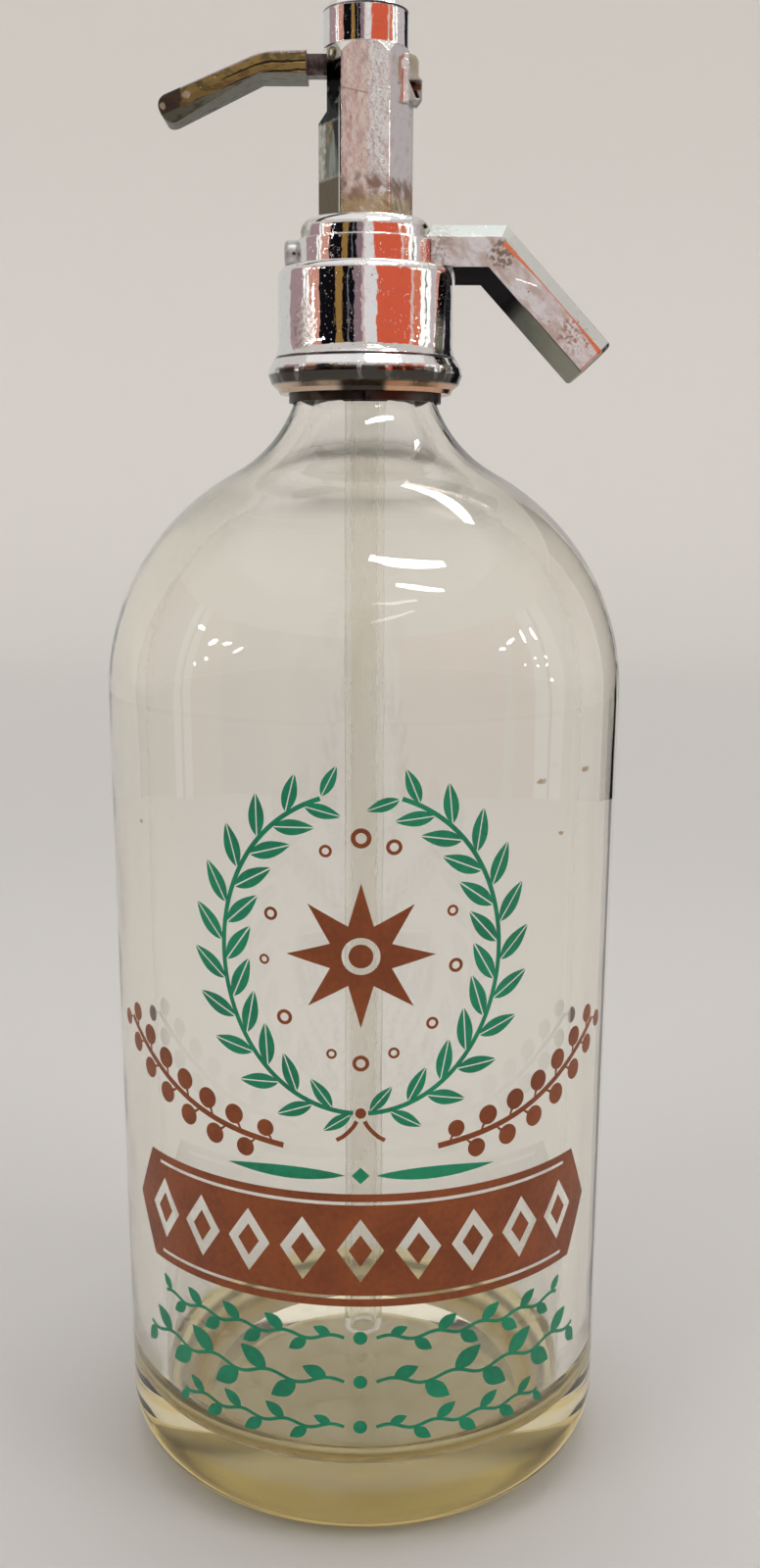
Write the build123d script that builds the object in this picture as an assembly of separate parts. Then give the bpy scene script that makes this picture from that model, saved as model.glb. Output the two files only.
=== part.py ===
from build123d import *
from math import atan2, cos, hypot, radians, sin
import os

# Soda siphon: a heavy glass bottle with a chromed brass head, a thumb lever and a valve.
# Millimetres. Origin at the centre of the bottle's foot, +Z up, +X towards the spout.

# bottle
body_top_radius = 54.0
body_foot_radius = 52.4
body_height = 168.0
heel_radius = 12.0
shoulder_radius = 51.0
glass_wall = 7.5
rest_ring_radius = 34.0
push_up = 4.0
floor_height = 14.0
floor_dome = 3.5
floor_fillet = 9.0
neck_radius = 13.0
shoulder_rise = 69.0
neck_straight = 2.0
bead_height = 8.0
bead_overhang = 2.6
bead_under_fillet = 1.0
bead_top_fillet = 1.6
mouth_bore = 9.0

# neck ring, split ring and collar
running_gap = 0.05
loose_gap = 0.1
cut_margin = 1.0
split_ring_wall = 3.3
split_ring_step = 0.7
split_ring_grip = 6.5
split_ring_skirt = 4.9
split_ring_flare = 1.9
split_ring_waist = 1.0
split_ring_cut = 0.6
neck_ring_wall = 0.75
neck_ring_flange = 20.0
neck_ring_flange_height = 6.9
neck_ring_lip_height = 3.2
neck_ring_lip_wall = 1.8
neck_ring_lip_bevel = 0.4
neck_ring_lip_bevel_height = 0.9
neck_ring_cone_height = 1.9
neck_ring_cone_step = 0.7
neck_ring_crown_drop = 3.0
neck_ring_crown_height = 1.3
neck_ring_crown_step = 0.25
neck_ring_top_step = 1.2
neck_ring_crown_round = 0.8
neck_ring_edge_round = 0.9
neck_ring_thread = 6.6
joint_groove = 0.4
collar_wall = 0.55
collar_flare = 0.65
collar_flare_height = 3.0
collar_lip = 1.9
collar_shoulder = 1.9

# head
gasket_thickness = 1.6
gasket_inset = 0.6
flange_height = 3.8
lower_ring_radius = 14.03
lower_ring_height = 5.1
upper_ring_radius = 13.17
upper_ring_height = 4.4
upper_ring_fillet = 2.6
column_flats = 16.4
column_height = 32.1
column_root = 0.5
column_top_chamfer = 0.95
column_top_fall = 2.1
cap_neck_radius = 7.0
cap_neck_height = 5.1
spigot_radius = 8.0
spigot_length = 14.6

# bores in the head, from the bottom up
ferrule_depth = 6.0
valve_chamber_radius = 4.65
seat_height = 3.2
seat_rise = 1.6
flow_chamber_radius = 4.0
flow_chamber_height = 10.6
stem_guide_height = 1.2
stem_guide_gap = 0.25
packing_radius = 3.2
packing_height = 4.4
gland_radius = 4.2
gland_height = 4.6
spring_chamber_radius = 6.0

# lever slot, milled flat and fulcrum boss
fulcrum_offset = 7.8
fulcrum_drop = 2.9
fulcrum_radius = 0.9
milled_flat = 7.7
milled_depth = 12.0
slot_width = 4.1
slot_depth = 11.4
slot_top_gap = 0.7
tail_slot_width = 2.8
boss_reach = 11.3
boss_width = 6.4
boss_height = 8.9
boss_top_gap = 1.1
boss_root = 3.2
boss_foot_bevel = 1.0
boss_foot_bevel_height = 1.2
boss_round = 1.2
dome_height = 5.0
dome_step = 0.8
dome_step_height = 0.6
dome_round = 1.9
near_cheek_cut = 2.8
near_cheek_foot = 1.1
cheek_floor = 0.9
tail_end_gap = 0.2
tail_roof_gap = 0.3

# lever
lever_web = 2.4
lever_web_rise = 1.4
lever_web_depth = 3.6
lever_tail_radius = 1.9
lever_neck_width = 3.6
lever_neck_depth = 4.0
lever_neck_rise = 0.5
lever_neck_inset = 0.7
lever_neck_root = 0.5
lever_neck_length = 3.9
lever_nose_radius = 1.5
lever_nose_drop = 2.8
nose_gap = 0.15
handle_width = 11.0
handle_step = 0.2
handle_root_depth = 4.2
handle_tip_depth = 5.2
handle_flat_length = 8.7
handle_flat_drop = 0.3
handle_slope_length = 23.0
handle_slope = 22.6
handle_bend_round = 15.0
handle_bend_lead = 0.5
handle_tip_round = 2.2
handle_bevel_down = 2.0
handle_bevel_in = 2.9

# spout
spout_flats = 10.2
spout_run = 26.1
spout_arm = 29.6
spout_slope = 47.0
spout_bore = 1.9
spout_tenon_radius = 2.65
spout_tenon_depth = 4.5
spout_edge_round = 0.9
spout_collar_gap = 0.4
spout_lap = 0.15

# cross-bore plug
plug_radius = 2.75
plug_reach = 16.4
plug_round = 0.9
plug_flat = 0.3
plug_shank_length = 4.6

# cap
cap_radius = 8.5
cap_height = 8.2
cap_crown = 1.2
cap_crown_inset = 1.1
cap_groove = 0.3
cap_slot_width = 1.4
cap_slot_depth = 0.9
cap_washer_height = 0.5
cap_washer_lap = 0.5
lock_screw_radius = 1.05
lock_screw_shank = 0.7
lock_screw_length = 1.5
lock_screw_drop = 1.6
lock_screw_side = 1.2
lock_screw_proud = 0.35

# stem, spring and valve
stem_radius = 1.5
stem_tail_radius = 1.1
stem_tail_length = 5.0
stem_fit = 0.02
spring_cap_radius = 5.6
spring_cap_height = 2.9
spring_cap_socket = 2.0
spring_seat_height = 0.8
spring_seat_gap = 0.2
spring_wire = 1.0
spring_end_gap = 0.02
spring_radius = 4.3
spring_turns = 5
packing_wall_gap = 0.05
gland_slot = 1.2
gland_slot_depth = 1.0
valve_gap = 0.1
washer_thickness = 1.6
washer_radius = 3.05
washer_proud = 0.25
cup_wall = 0.55
cup_height = 2.9
cup_nut_flats = 4.0
cup_nut_height = 1.5
seat_bore = 2.6
seat_lip_wall = 0.4
seat_lip_height = 0.4

# tube
tube_radius = 4.15
tube_bore = 2.6
tube_floor_gap = 4.5
tube_cut_angle = 30.0
ferrule_wall = 0.7
ferrule_length = 13.1
ferrule_chamfer = 0.4

# levels, worked out from the sizes above
neck_foot = body_height + shoulder_rise
bead_foot = neck_foot + neck_straight
bead_radius = neck_radius + bead_overhang
mouth_top = bead_foot + bead_height
flange_bottom = mouth_top + gasket_thickness
flange_top = flange_bottom + flange_height
collar_top = flange_top + collar_lip
lower_ring_top = collar_top + lower_ring_height
upper_ring_top = lower_ring_top + upper_ring_height
column_top = upper_ring_top + column_height
cap_neck_top = column_top + cap_neck_height
spigot_bottom = flange_bottom - spigot_length
ferrule_seat = spigot_bottom + ferrule_depth
spout_height = collar_top + spout_flats / 2 / cos(radians(30)) / 2 - spout_lap
seat_top = flange_bottom + seat_rise
seat_bottom = seat_top - seat_height
flow_top = seat_top + flow_chamber_height
packing_bottom = flow_top + stem_guide_height
packing_top = packing_bottom + packing_height
gland_top = packing_top + gland_height
fulcrum_height = column_top - fulcrum_drop
nose_bottom = fulcrum_height - lever_nose_drop - lever_nose_radius
spring_cap_top = nose_bottom - nose_gap
spring_cap_bottom = spring_cap_top - spring_cap_height
spring_bottom = gland_top + spring_seat_height
washer_top = seat_bottom - seat_lip_height - valve_gap
cup_top = washer_top - washer_proud
cup_bottom = cup_top - cup_height

# the collar's three bores and its outside
split_ring_radius = neck_radius + loose_gap + split_ring_wall
ring_sleeve_bore = split_ring_radius + loose_gap
ring_sleeve_radius = ring_sleeve_bore + neck_ring_wall
collar_thread_bore = ring_sleeve_radius + running_gap
collar_radius = collar_thread_bore + collar_wall
flange_radius = ring_sleeve_bore - loose_gap
ring_ledge = bead_foot - split_ring_grip
ring_bottom = ring_ledge - neck_ring_lip_height
ring_flange_top = ring_bottom + neck_ring_flange_height
ring_sleeve_top = ring_flange_top + neck_ring_thread
collar_foot = ring_flange_top + joint_groove


def polygon_face(points, plane=Plane.XZ):
    return plane * make_face(Polyline(points, close=True))


def revolved(points):
    return revolve(polygon_face(points), Axis.Z)


def tube(outer, inner, bottom, top):
    return revolved([(inner, bottom), (outer, bottom), (outer, top), (inner, top)])


def disc(radius, bottom, top):
    return Pos(0, 0, bottom) * Cylinder(radius, top - bottom, align=(Align.CENTER, Align.CENTER, Align.MIN))


def block(low, high):
    size = [high[i] - low[i] for i in range(3)]
    return Pos(*low) * Box(*size, align=(Align.MIN, Align.MIN, Align.MIN))


def cross_bar(radius, start, end, height, y=0.0):
    # a round bar along X
    bar = Cylinder(radius, end - start, align=(Align.CENTER, Align.CENTER, Align.MIN))
    return Pos(start, y, height) * Rot(0, 90, 0) * bar


def side_bar(radius, x, height, half_width):
    # a round bar along Y, centred on the middle plane
    return Pos(x, 0, height) * Rot(90, 0, 0) * Cylinder(radius, half_width * 2)


def slab(points, half_width, centre=0.0):
    # an outline in the XZ plane, given a thickness along Y
    plate = extrude(polygon_face(points), half_width, both=True)
    return Pos(0, centre, 0) * plate


def hex_prism(flats, bottom, top):
    outline = Pos(0, 0, bottom) * RegularPolygon(flats / 2, 6, major_radius=False)
    return extrude(outline, top - bottom)


def circles_at(shape, radius, height):
    edges = shape.edges().filter_by(GeomType.CIRCLE)
    return [e for e in edges if abs(e.radius - radius) < 0.02 and abs(e.arc_center.Z - height) < 0.02]


def arc_between(centre, start, end):
    # the short arc from start to end round centre, all as (r, z)
    radius = hypot(start[0] - centre[0], start[1] - centre[1])
    mid = ((start[0] + end[0]) / 2 - centre[0], (start[1] + end[1]) / 2 - centre[1])
    reach = radius / hypot(*mid)
    return ThreePointArc(start, (centre[0] + mid[0] * reach, centre[1] + mid[1] * reach), end)


def along(centre, radius, angle):
    return (centre[0] + radius * cos(angle), centre[1] + radius * sin(angle))


def dome_arc(start, end):
    # the arc of a ball centred on the axis, between its edge and its crown, either way round
    edge, crown = (start, end) if start[0] else (end, start)
    rise = crown[1] - edge[1]
    ball = (edge[0] ** 2 + rise ** 2) / (2 * rise)
    half = edge[0] / 2
    middle = (half, crown[1] - ball + (ball ** 2 - half ** 2) ** 0.5)
    return ThreePointArc(start, middle, end)


def neck_curve(centre, radius, neck):
    # the concave arc that leaves a shoulder arc and ends upright at the neck
    across = neck - centre[0]
    up = neck_foot - centre[1]
    blend = (across ** 2 + up ** 2 - radius ** 2) / (2 * (radius - across))
    blend_centre = (neck + blend, neck_foot)
    share = radius / (radius + blend)
    meet = tuple(centre[i] + share * (blend_centre[i] - centre[i]) for i in range(2))
    return blend_centre, meet


def make_bottle():
    lean = -atan2(body_top_radius - body_foot_radius, body_height - heel_radius)
    shoulder = along((body_top_radius, body_height), -shoulder_radius, lean)
    heel = (body_foot_radius - heel_radius * cos(lean), heel_radius)
    body_foot = along(heel, heel_radius, lean)
    outer_blend, outer_meet = neck_curve(shoulder, shoulder_radius, neck_radius)
    inner_radius = shoulder_radius - glass_wall
    inner_blend, inner_meet = neck_curve(shoulder, inner_radius, mouth_bore)
    inner_top = along(shoulder, inner_radius, lean)
    foot_wall = along(body_foot, -glass_wall, lean)
    rise = floor_height + floor_fillet - foot_wall[1]
    inner_foot = (foot_wall[0] - rise * sin(lean), foot_wall[1] + rise)
    fillet_centre = along(inner_foot, -floor_fillet, lean)
    floor_edge = (fillet_centre[0], fillet_centre[1] - floor_fillet)
    floor_crown = (0, floor_edge[1] + floor_dome)
    edges = [
        dome_arc((0, push_up), (rest_ring_radius, 0)),
        Line((rest_ring_radius, 0), (heel[0], 0)),
        arc_between(heel, (heel[0], 0), body_foot),
        Line(body_foot, (body_top_radius, body_height)),
        arc_between(shoulder, (body_top_radius, body_height), outer_meet),
        arc_between(outer_blend, outer_meet, (neck_radius, neck_foot)),
        Polyline((neck_radius, neck_foot), (neck_radius, bead_foot), (bead_radius, bead_foot),
                 (bead_radius, mouth_top), (mouth_bore, mouth_top), (mouth_bore, neck_foot)),
        arc_between(inner_blend, (mouth_bore, neck_foot), inner_meet),
        arc_between(shoulder, inner_meet, inner_top),
        Line(inner_top, inner_foot),
        arc_between(fillet_centre, inner_foot, floor_edge),
        dome_arc(floor_edge, floor_crown),
        Line(floor_crown, (0, push_up)),
    ]
    bottle = revolve(Plane.XZ * make_face(edges), Axis.Z)
    bottle = fillet(circles_at(bottle, bead_radius, bead_foot), bead_under_fillet)
    bottle = fillet(circles_at(bottle, bead_radius, mouth_top), bead_top_fillet)
    return bottle


def make_split_ring():
    # two dark halves that grip the neck under the bead
    skirt_bottom = ring_ledge - split_ring_skirt
    grip = neck_radius + loose_gap
    waist = neck_foot - split_ring_waist
    skirt = split_ring_radius - split_ring_step
    ring = revolved([
        (grip + split_ring_flare, skirt_bottom), (skirt, skirt_bottom), (skirt, ring_ledge),
        (split_ring_radius, ring_ledge), (split_ring_radius, bead_foot), (grip, bead_foot), (grip, waist)])
    cut = split_ring_cut / 2
    reach = split_ring_radius + cut_margin
    low, high = skirt_bottom - cut_margin, bead_foot + cut_margin
    left = ring & block((-reach, -reach, low), (-cut, reach, high))
    right = ring & block((cut, -reach, low), (reach, reach, high))
    return left, right


def make_neck_ring():
    lip_bore = split_ring_radius - split_ring_step + loose_gap
    lip = lip_bore + neck_ring_lip_wall
    crown = ring_flange_top - neck_ring_crown_drop
    shoulder = (neck_ring_flange - neck_ring_crown_step, crown + neck_ring_crown_height)
    ring = revolved([
        (lip_bore, ring_bottom), (lip, ring_bottom),
        (lip + neck_ring_lip_bevel, ring_bottom + neck_ring_lip_bevel_height),
        (neck_ring_flange - neck_ring_cone_step, crown - neck_ring_cone_height),
        (neck_ring_flange, crown), shoulder, (neck_ring_flange - neck_ring_top_step, ring_flange_top),
        (ring_sleeve_radius, ring_flange_top), (ring_sleeve_radius, ring_sleeve_top),
        (ring_sleeve_bore, ring_sleeve_top), (ring_sleeve_bore, ring_ledge), (lip_bore, ring_ledge)])
    ring = fillet(circles_at(ring, neck_ring_flange, crown), neck_ring_crown_round)
    return fillet(circles_at(ring, *shoulder), neck_ring_edge_round)


def make_collar():
    foot_radius = collar_radius + collar_flare
    lip_bore = lower_ring_radius + loose_gap
    flare_top = collar_foot + collar_flare_height
    flare_arc = (collar_flare ** 2 + collar_flare_height ** 2) / (2 * collar_flare)
    thread_top = ring_sleeve_top + joint_groove
    outline = [
        Line((collar_thread_bore, collar_foot), (foot_radius, collar_foot)),
        arc_between((collar_radius + flare_arc, flare_top), (foot_radius, collar_foot),
                    (collar_radius, flare_top)),
        Polyline((collar_radius, flare_top), (collar_radius, collar_top), (lip_bore, collar_top),
                 (lip_bore, flange_top), (ring_sleeve_bore, flange_top), (ring_sleeve_bore, thread_top),
                 (collar_thread_bore, thread_top), (collar_thread_bore, collar_foot)),
    ]
    collar = revolve(Plane.XZ * make_face(outline), Axis.Z)
    return fillet(circles_at(collar, collar_radius, collar_top), collar_shoulder)


def column_blank():
    # hexagonal bar with its top corners turned off and one corner milled flat over the slot
    root = upper_ring_top - column_root
    column = hex_prism(column_flats, root, column_top)
    corner = column_flats / 2 / cos(radians(30))
    outside = corner + column_top_chamfer
    column &= revolved([
        (0, root - cut_margin), (outside, root - cut_margin), (outside, column_top - 2 * column_top_fall),
        (corner - column_top_chamfer, column_top), (0, column_top)])
    step = column_top - milled_depth
    reach = corner + cut_margin
    foot = step - (reach - milled_flat)
    above = column_top + cut_margin
    mill = slab([(-milled_flat, above), (-milled_flat, step), (-reach, foot), (-reach, above)], corner)
    return column - mill


def boss_blank():
    # rounded boss on the spout side: domed top, two cheeks below it with the tail slot between them
    top = column_top - boss_top_gap
    bottom = top - boss_height
    shelf = top - dome_height
    root = column_flats / 2 - boss_root
    dome = boss_reach - dome_step
    boss = slab([
        (root, bottom), (boss_reach - boss_foot_bevel, bottom), (boss_reach, bottom + boss_foot_bevel_height),
        (boss_reach, shelf), (dome, shelf + dome_step_height), (dome, top), (root, top)], boss_width / 2)
    crown = [e for e in boss.edges().filter_by(Axis.Y)
             if hypot(e.center().X - dome, e.center().Z - top) < 0.01]
    boss = fillet(crown, dome_round)
    upright = [e for e in boss.edges().filter_by(Axis.Z) if abs(e.center().X - boss_reach) < 0.01]
    boss = fillet(upright, boss_round)
    outside = boss_reach + cut_margin
    near = slab([(boss_reach - near_cheek_cut, shelf), (boss_reach - near_cheek_foot, bottom),
                 (outside, bottom - cut_margin), (outside, shelf)],
                boss_width, -tail_slot_width / 2 - boss_width)
    return boss - near, shelf


def make_head_body():
    head = disc(spigot_radius, spigot_bottom, flange_bottom)
    head += disc(flange_radius, flange_bottom, flange_top)
    head += disc(lower_ring_radius, flange_top, lower_ring_top)
    upper = disc(upper_ring_radius, lower_ring_top, upper_ring_top)
    head += fillet(circles_at(upper, upper_ring_radius, upper_ring_top), upper_ring_fillet)
    boss, shelf = boss_blank()
    head += column_blank()
    head += boss
    head += disc(cap_neck_radius, column_top, cap_neck_top)
    # stepped bore
    head -= disc(tube_radius + ferrule_wall + running_gap, spigot_bottom, ferrule_seat)
    head -= disc(valve_chamber_radius, ferrule_seat, seat_top)
    head -= disc(flow_chamber_radius, seat_top, flow_top)
    head -= disc(stem_radius + stem_guide_gap, flow_top, packing_bottom)
    head -= disc(packing_radius, packing_bottom, packing_top)
    head -= disc(gland_radius, packing_top, gland_top)
    head -= disc(spring_chamber_radius, gland_top, cap_neck_top)
    # cross bore, plug seat and spout socket
    plug_face = lower_ring_radius - plug_flat
    head -= cross_bar(spout_bore, -plug_face, lower_ring_radius, spout_height)
    head -= cross_bar(plug_radius + loose_gap, -plug_reach, -plug_face, spout_height)
    socket = lower_ring_radius - spout_tenon_depth
    outside = lower_ring_radius + cut_margin
    head -= cross_bar(spout_tenon_radius + running_gap, socket, outside, spout_height)
    # lever slot on the left, tail slot and fulcrum bore on the right
    slot_top = column_top - slot_top_gap
    head -= block((-column_flats, -slot_width / 2, column_top - slot_depth), (0, slot_width / 2, slot_top))
    tail_half = tail_slot_width / 2
    tail_reach = fulcrum_offset + lever_tail_radius + tail_end_gap
    tail_top = fulcrum_height + lever_tail_radius + tail_roof_gap
    slot_bottom = column_top - boss_top_gap - boss_height + cheek_floor
    head -= block((0, -tail_half, slot_bottom), (boss_reach + cut_margin, tail_half, shelf))
    head -= block((0, -tail_half, slot_bottom), (tail_reach, tail_half, tail_top))
    head -= side_bar(fulcrum_radius, fulcrum_offset, fulcrum_height, boss_width)
    head -= lock_screw_bar(lock_screw_shank, lock_screw_length, 0.0)
    return head


def lock_screw_bar(radius, inward, outward):
    # a round bar square to the left front facet, near the column's top
    bar = Cylinder(radius, inward + outward, align=(Align.CENTER, Align.CENTER, Align.MIN))
    facet = column_flats / 2 - inward
    height = column_top - lock_screw_drop
    return Rot(0, 0, 210) * Pos(facet, lock_screw_side, height) * Rot(0, 90, 0) * bar


def make_lock_screw():
    head = lock_screw_bar(lock_screw_radius, 0.0, lock_screw_proud)
    return head + lock_screw_bar(lock_screw_shank - running_gap, lock_screw_length, 0.0)


def spout_bar(start, direction, length):
    plane = Plane(origin=start, x_dir=(0, 1, 0), z_dir=direction)
    outline = plane * RegularPolygon(spout_flats / 2, 6, major_radius=False, rotation=30)
    return extrude(outline, length)


def make_spout():
    slope = radians(spout_slope)
    bend = (spout_run, 0, spout_height)
    arm = (cos(slope), 0, -sin(slope))
    end = tuple(bend[i] + arm[i] * spout_arm for i in range(3))
    root = lower_ring_radius - spout_tenon_depth
    mitre = Plane(origin=bend, z_dir=(1 + arm[0], 0, arm[2]))
    reach = 3 * spout_arm
    beyond = mitre * Box(reach, reach, reach, align=(Align.CENTER, Align.CENTER, Align.MIN))
    level = spout_bar((root, 0, spout_height), (1, 0, 0), spout_run - root + spout_flats) - beyond
    back = tuple(bend[i] - arm[i] * spout_flats for i in range(3))
    sloping = spout_bar(back, arm, spout_arm + spout_flats) & beyond
    spout = level + sloping
    rim = [e for e in spout.edges() if (e.center() - Vector(*end)).length < spout_flats
           and abs((e.center() - Vector(*end)).dot(Vector(*arm))) < 0.01]
    spout = fillet(rim, spout_edge_round)
    # the root is coped over both rings and clears the collar
    spout -= disc(lower_ring_radius + running_gap, spigot_bottom, lower_ring_top + running_gap)
    spout -= disc(upper_ring_radius + running_gap, spigot_bottom, column_top)
    spout -= disc(collar_radius + spout_collar_gap, spigot_bottom, collar_top + loose_gap)
    spout += cross_bar(spout_tenon_radius, root, lower_ring_radius + spout_tenon_radius, spout_height)
    spout -= cross_bar(spout_bore, 0, spout_run, spout_height)
    spout -= Pos(*bend) * Sphere(spout_bore)
    bore = Cylinder(spout_bore, spout_arm + cut_margin, align=(Align.CENTER, Align.CENTER, Align.MIN))
    return spout - Plane(origin=bend, z_dir=arm) * bore


def make_plug():
    face = lower_ring_radius - plug_flat
    head = cross_bar(plug_radius, -plug_reach, -face, spout_height)
    outer = [e for e in head.edges().filter_by(GeomType.CIRCLE) if e.arc_center.X < -plug_reach + 0.01]
    head = fillet(outer, plug_round)
    return head + cross_bar(spout_bore - running_gap, -face, -face + plug_shank_length, spout_height)


def make_cap():
    top = column_top + cap_height
    rim = top - cap_crown
    inside = cap_neck_top + cap_washer_height
    bore = cap_neck_radius + running_gap
    cap = revolved([
        (bore, column_top), (cap_radius, column_top), (cap_radius, rim - cap_groove),
        (cap_radius - cap_groove, rim - cap_groove / 2), (cap_radius, rim),
        (cap_radius - cap_crown_inset, top), (0, top), (0, inside), (bore, inside)])
    width = cap_slot_width / 2
    return cap - block((-cap_radius, -width, top - cap_slot_depth), (cap_radius, width, top + cut_margin))


def make_lever():
    web_top = fulcrum_height + lever_web_rise
    web_bottom = web_top - lever_web_depth
    neck_top = web_top + lever_neck_rise
    neck_start = -milled_flat + lever_neck_inset
    root = -milled_flat - lever_neck_length
    half_web = lever_web / 2
    half_neck = lever_neck_width / 2
    lever = block((neck_start - lever_neck_root, -half_web, web_bottom), (fulcrum_offset, half_web, web_top))
    lever += side_bar(lever_tail_radius, fulcrum_offset, fulcrum_height, half_web)
    lever += side_bar(lever_nose_radius, 0, fulcrum_height - lever_nose_drop, half_web)
    neck_bottom = neck_top - lever_neck_depth
    lever += block((root - cut_margin, -half_neck, neck_bottom), (neck_start, half_neck, neck_top))
    lever += make_handle(root, neck_top - handle_step)
    bore = side_bar(fulcrum_radius + running_gap, fulcrum_offset, fulcrum_height, lever_web)
    return lever - bore


def make_handle(root, top):
    # thumb bar: a short level run, then a straight slope down to a rounded tip
    slope = radians(handle_slope)
    bend_top = (root - handle_flat_length, top - handle_flat_drop)
    tip_top = along(bend_top, -handle_slope_length, slope)
    tip_bottom = along(tip_top, -handle_tip_depth, slope + radians(90))
    bend_bottom = (bend_top[0] - handle_bend_lead, top - handle_root_depth)
    points = [(root, top), bend_top, tip_top, tip_bottom, bend_bottom, (root, top - handle_root_depth)]
    handle = slab(points, handle_width / 2)

    def cross_edges(spots):
        return [e for e in handle.edges().filter_by(Axis.Y)
                if any(hypot(e.center().X - p[0], e.center().Z - p[1]) < 0.05 for p in spots)]

    handle = fillet(cross_edges([bend_top]), handle_bend_round)
    for side in (1, -1):
        handle -= bevel_cut(bend_bottom, tip_bottom, side)
    tip = [e for e in handle.edges().filter_by(Axis.Y) if e.center().X < tip_bottom[0] + 0.01]
    return fillet(tip, handle_tip_round)


def bevel_cut(bend, tip, side):
    # a flat bevel under one long edge, from nothing at the bend to its full width at the tip
    edge = side * handle_width / 2
    start = Vector(bend[0], edge, bend[1])
    upper = Vector(tip[0], edge, tip[1] + handle_bevel_down)
    lower = Vector(tip[0], edge - side * handle_bevel_in, tip[1])
    outward = (upper - start).cross(lower - start) * -side
    reach = 3 * handle_slope_length
    plane = Plane(origin=start, x_dir=upper - start, z_dir=outward)
    beyond = plane * Box(reach, reach, reach, align=(Align.CENTER, Align.CENTER, Align.MIN))
    return beyond & block((bend[0] - reach, -reach, bend[1] - reach), (bend[0], reach, bend[1] + reach))


def make_spring():
    height = spring_cap_bottom - spring_bottom - spring_wire
    helix = Helix(height / spring_turns, height, spring_radius, center=(0, 0, spring_bottom + spring_wire / 2))
    section = Plane(origin=helix @ 0, z_dir=helix % 0) * Circle(spring_wire / 2 - spring_end_gap)
    return sweep(section, path=helix)


def make_stem_parts():
    tail_bottom = washer_top - stem_tail_length
    stem_top = spring_cap_bottom + spring_cap_socket
    stem = disc(stem_radius, washer_top, stem_top) + disc(stem_tail_radius, tail_bottom, washer_top)
    cap = disc(spring_cap_radius, spring_cap_bottom, spring_cap_top)
    cap -= disc(stem_radius + stem_fit, spring_cap_bottom, stem_top)
    hole = stem_tail_radius + stem_fit
    washer_bottom = washer_top - washer_thickness
    washer = tube(washer_radius, hole, washer_bottom, washer_top)
    cup = tube(washer_radius + cup_wall, hole, cup_bottom, cup_top)
    cup -= disc(washer_radius + stem_fit, washer_bottom, cup_top)
    nut = hex_prism(cup_nut_flats, cup_bottom - cup_nut_height, cup_bottom)
    nut -= disc(hole, cup_bottom - cup_nut_height, cup_bottom)
    return {"valve_stem": stem, "spring_cap": cap, "valve_washer": washer, "washer_cup": cup, "cup_nut": nut}


def make_valve_seat():
    seat = tube(valve_chamber_radius - running_gap, seat_bore, seat_bottom, seat_top)
    return seat + tube(seat_bore + seat_lip_wall, seat_bore, seat_bottom - seat_lip_height, seat_bottom)


def make_gland_nut():
    nut = tube(gland_radius - running_gap, stem_radius + running_gap, packing_top, gland_top)
    width = gland_slot / 2
    slot_floor = gland_top - gland_slot_depth
    return nut - block((-gland_radius, -width, slot_floor), (gland_radius, width, gland_top + cut_margin))


def make_dip_tube():
    bottom = floor_height + floor_dome + tube_floor_gap
    pipe = tube(tube_radius, tube_bore, bottom, ferrule_seat)
    slant = Pos(tube_radius, 0, bottom) * Rot(0, -tube_cut_angle, 0)
    reach = 8 * tube_radius
    return pipe - slant * Box(reach, reach, reach, align=(Align.CENTER, Align.CENTER, Align.MAX))


def make_ferrule():
    bore = tube_radius + stem_fit
    sleeve = tube(tube_radius + ferrule_wall, bore, ferrule_seat - ferrule_length, ferrule_seat)
    foot = circles_at(sleeve, tube_radius + ferrule_wall, ferrule_seat - ferrule_length)
    return chamfer(foot, ferrule_chamfer)


def make_all():
    left_half, right_half = make_split_ring()
    nodes = {
        "glass_bottle": make_bottle(),
        "split_ring_half_left": left_half,
        "split_ring_half_right": right_half,
        "neck_ring": make_neck_ring(),
        "coupling_collar": make_collar(),
        "mouth_gasket": tube(bead_radius - gasket_inset, spigot_radius + loose_gap, mouth_top, flange_bottom),
        "head_body": make_head_body(),
        "spout": make_spout(),
        "cross_bore_plug": make_plug(),
        "top_cap": make_cap(),
        "cap_washer": tube(cap_neck_radius - loose_gap, spring_chamber_radius - cap_washer_lap,
                           cap_neck_top, cap_neck_top + cap_washer_height),
        "cap_lock_screw": make_lock_screw(),
        "fulcrum_pin": side_bar(fulcrum_radius - stem_fit, fulcrum_offset, fulcrum_height, boss_width / 2),
        "lever": make_lever(),
        "spring_seat": tube(spring_chamber_radius - loose_gap, stem_radius + spring_seat_gap,
                            gland_top, spring_bottom),
        "return_spring": make_spring(),
        "gland_nut": make_gland_nut(),
        "packing_ring": tube(packing_radius - packing_wall_gap, stem_radius + running_gap,
                             packing_bottom, packing_top),
        "valve_seat": make_valve_seat(),
        "tube_ferrule": make_ferrule(),
        "dip_tube": make_dip_tube(),
    }
    nodes.update(make_stem_parts())
    return nodes


os.makedirs("parts", exist_ok=True)
for name, shape in make_all().items():
    export_step(shape, f"parts/{name}.step")
    print(f"{name}: {shape.volume / 1000:.2f} cm3")
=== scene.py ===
import math
import bmesh
import bpy
from mathutils import Matrix, Vector


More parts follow.
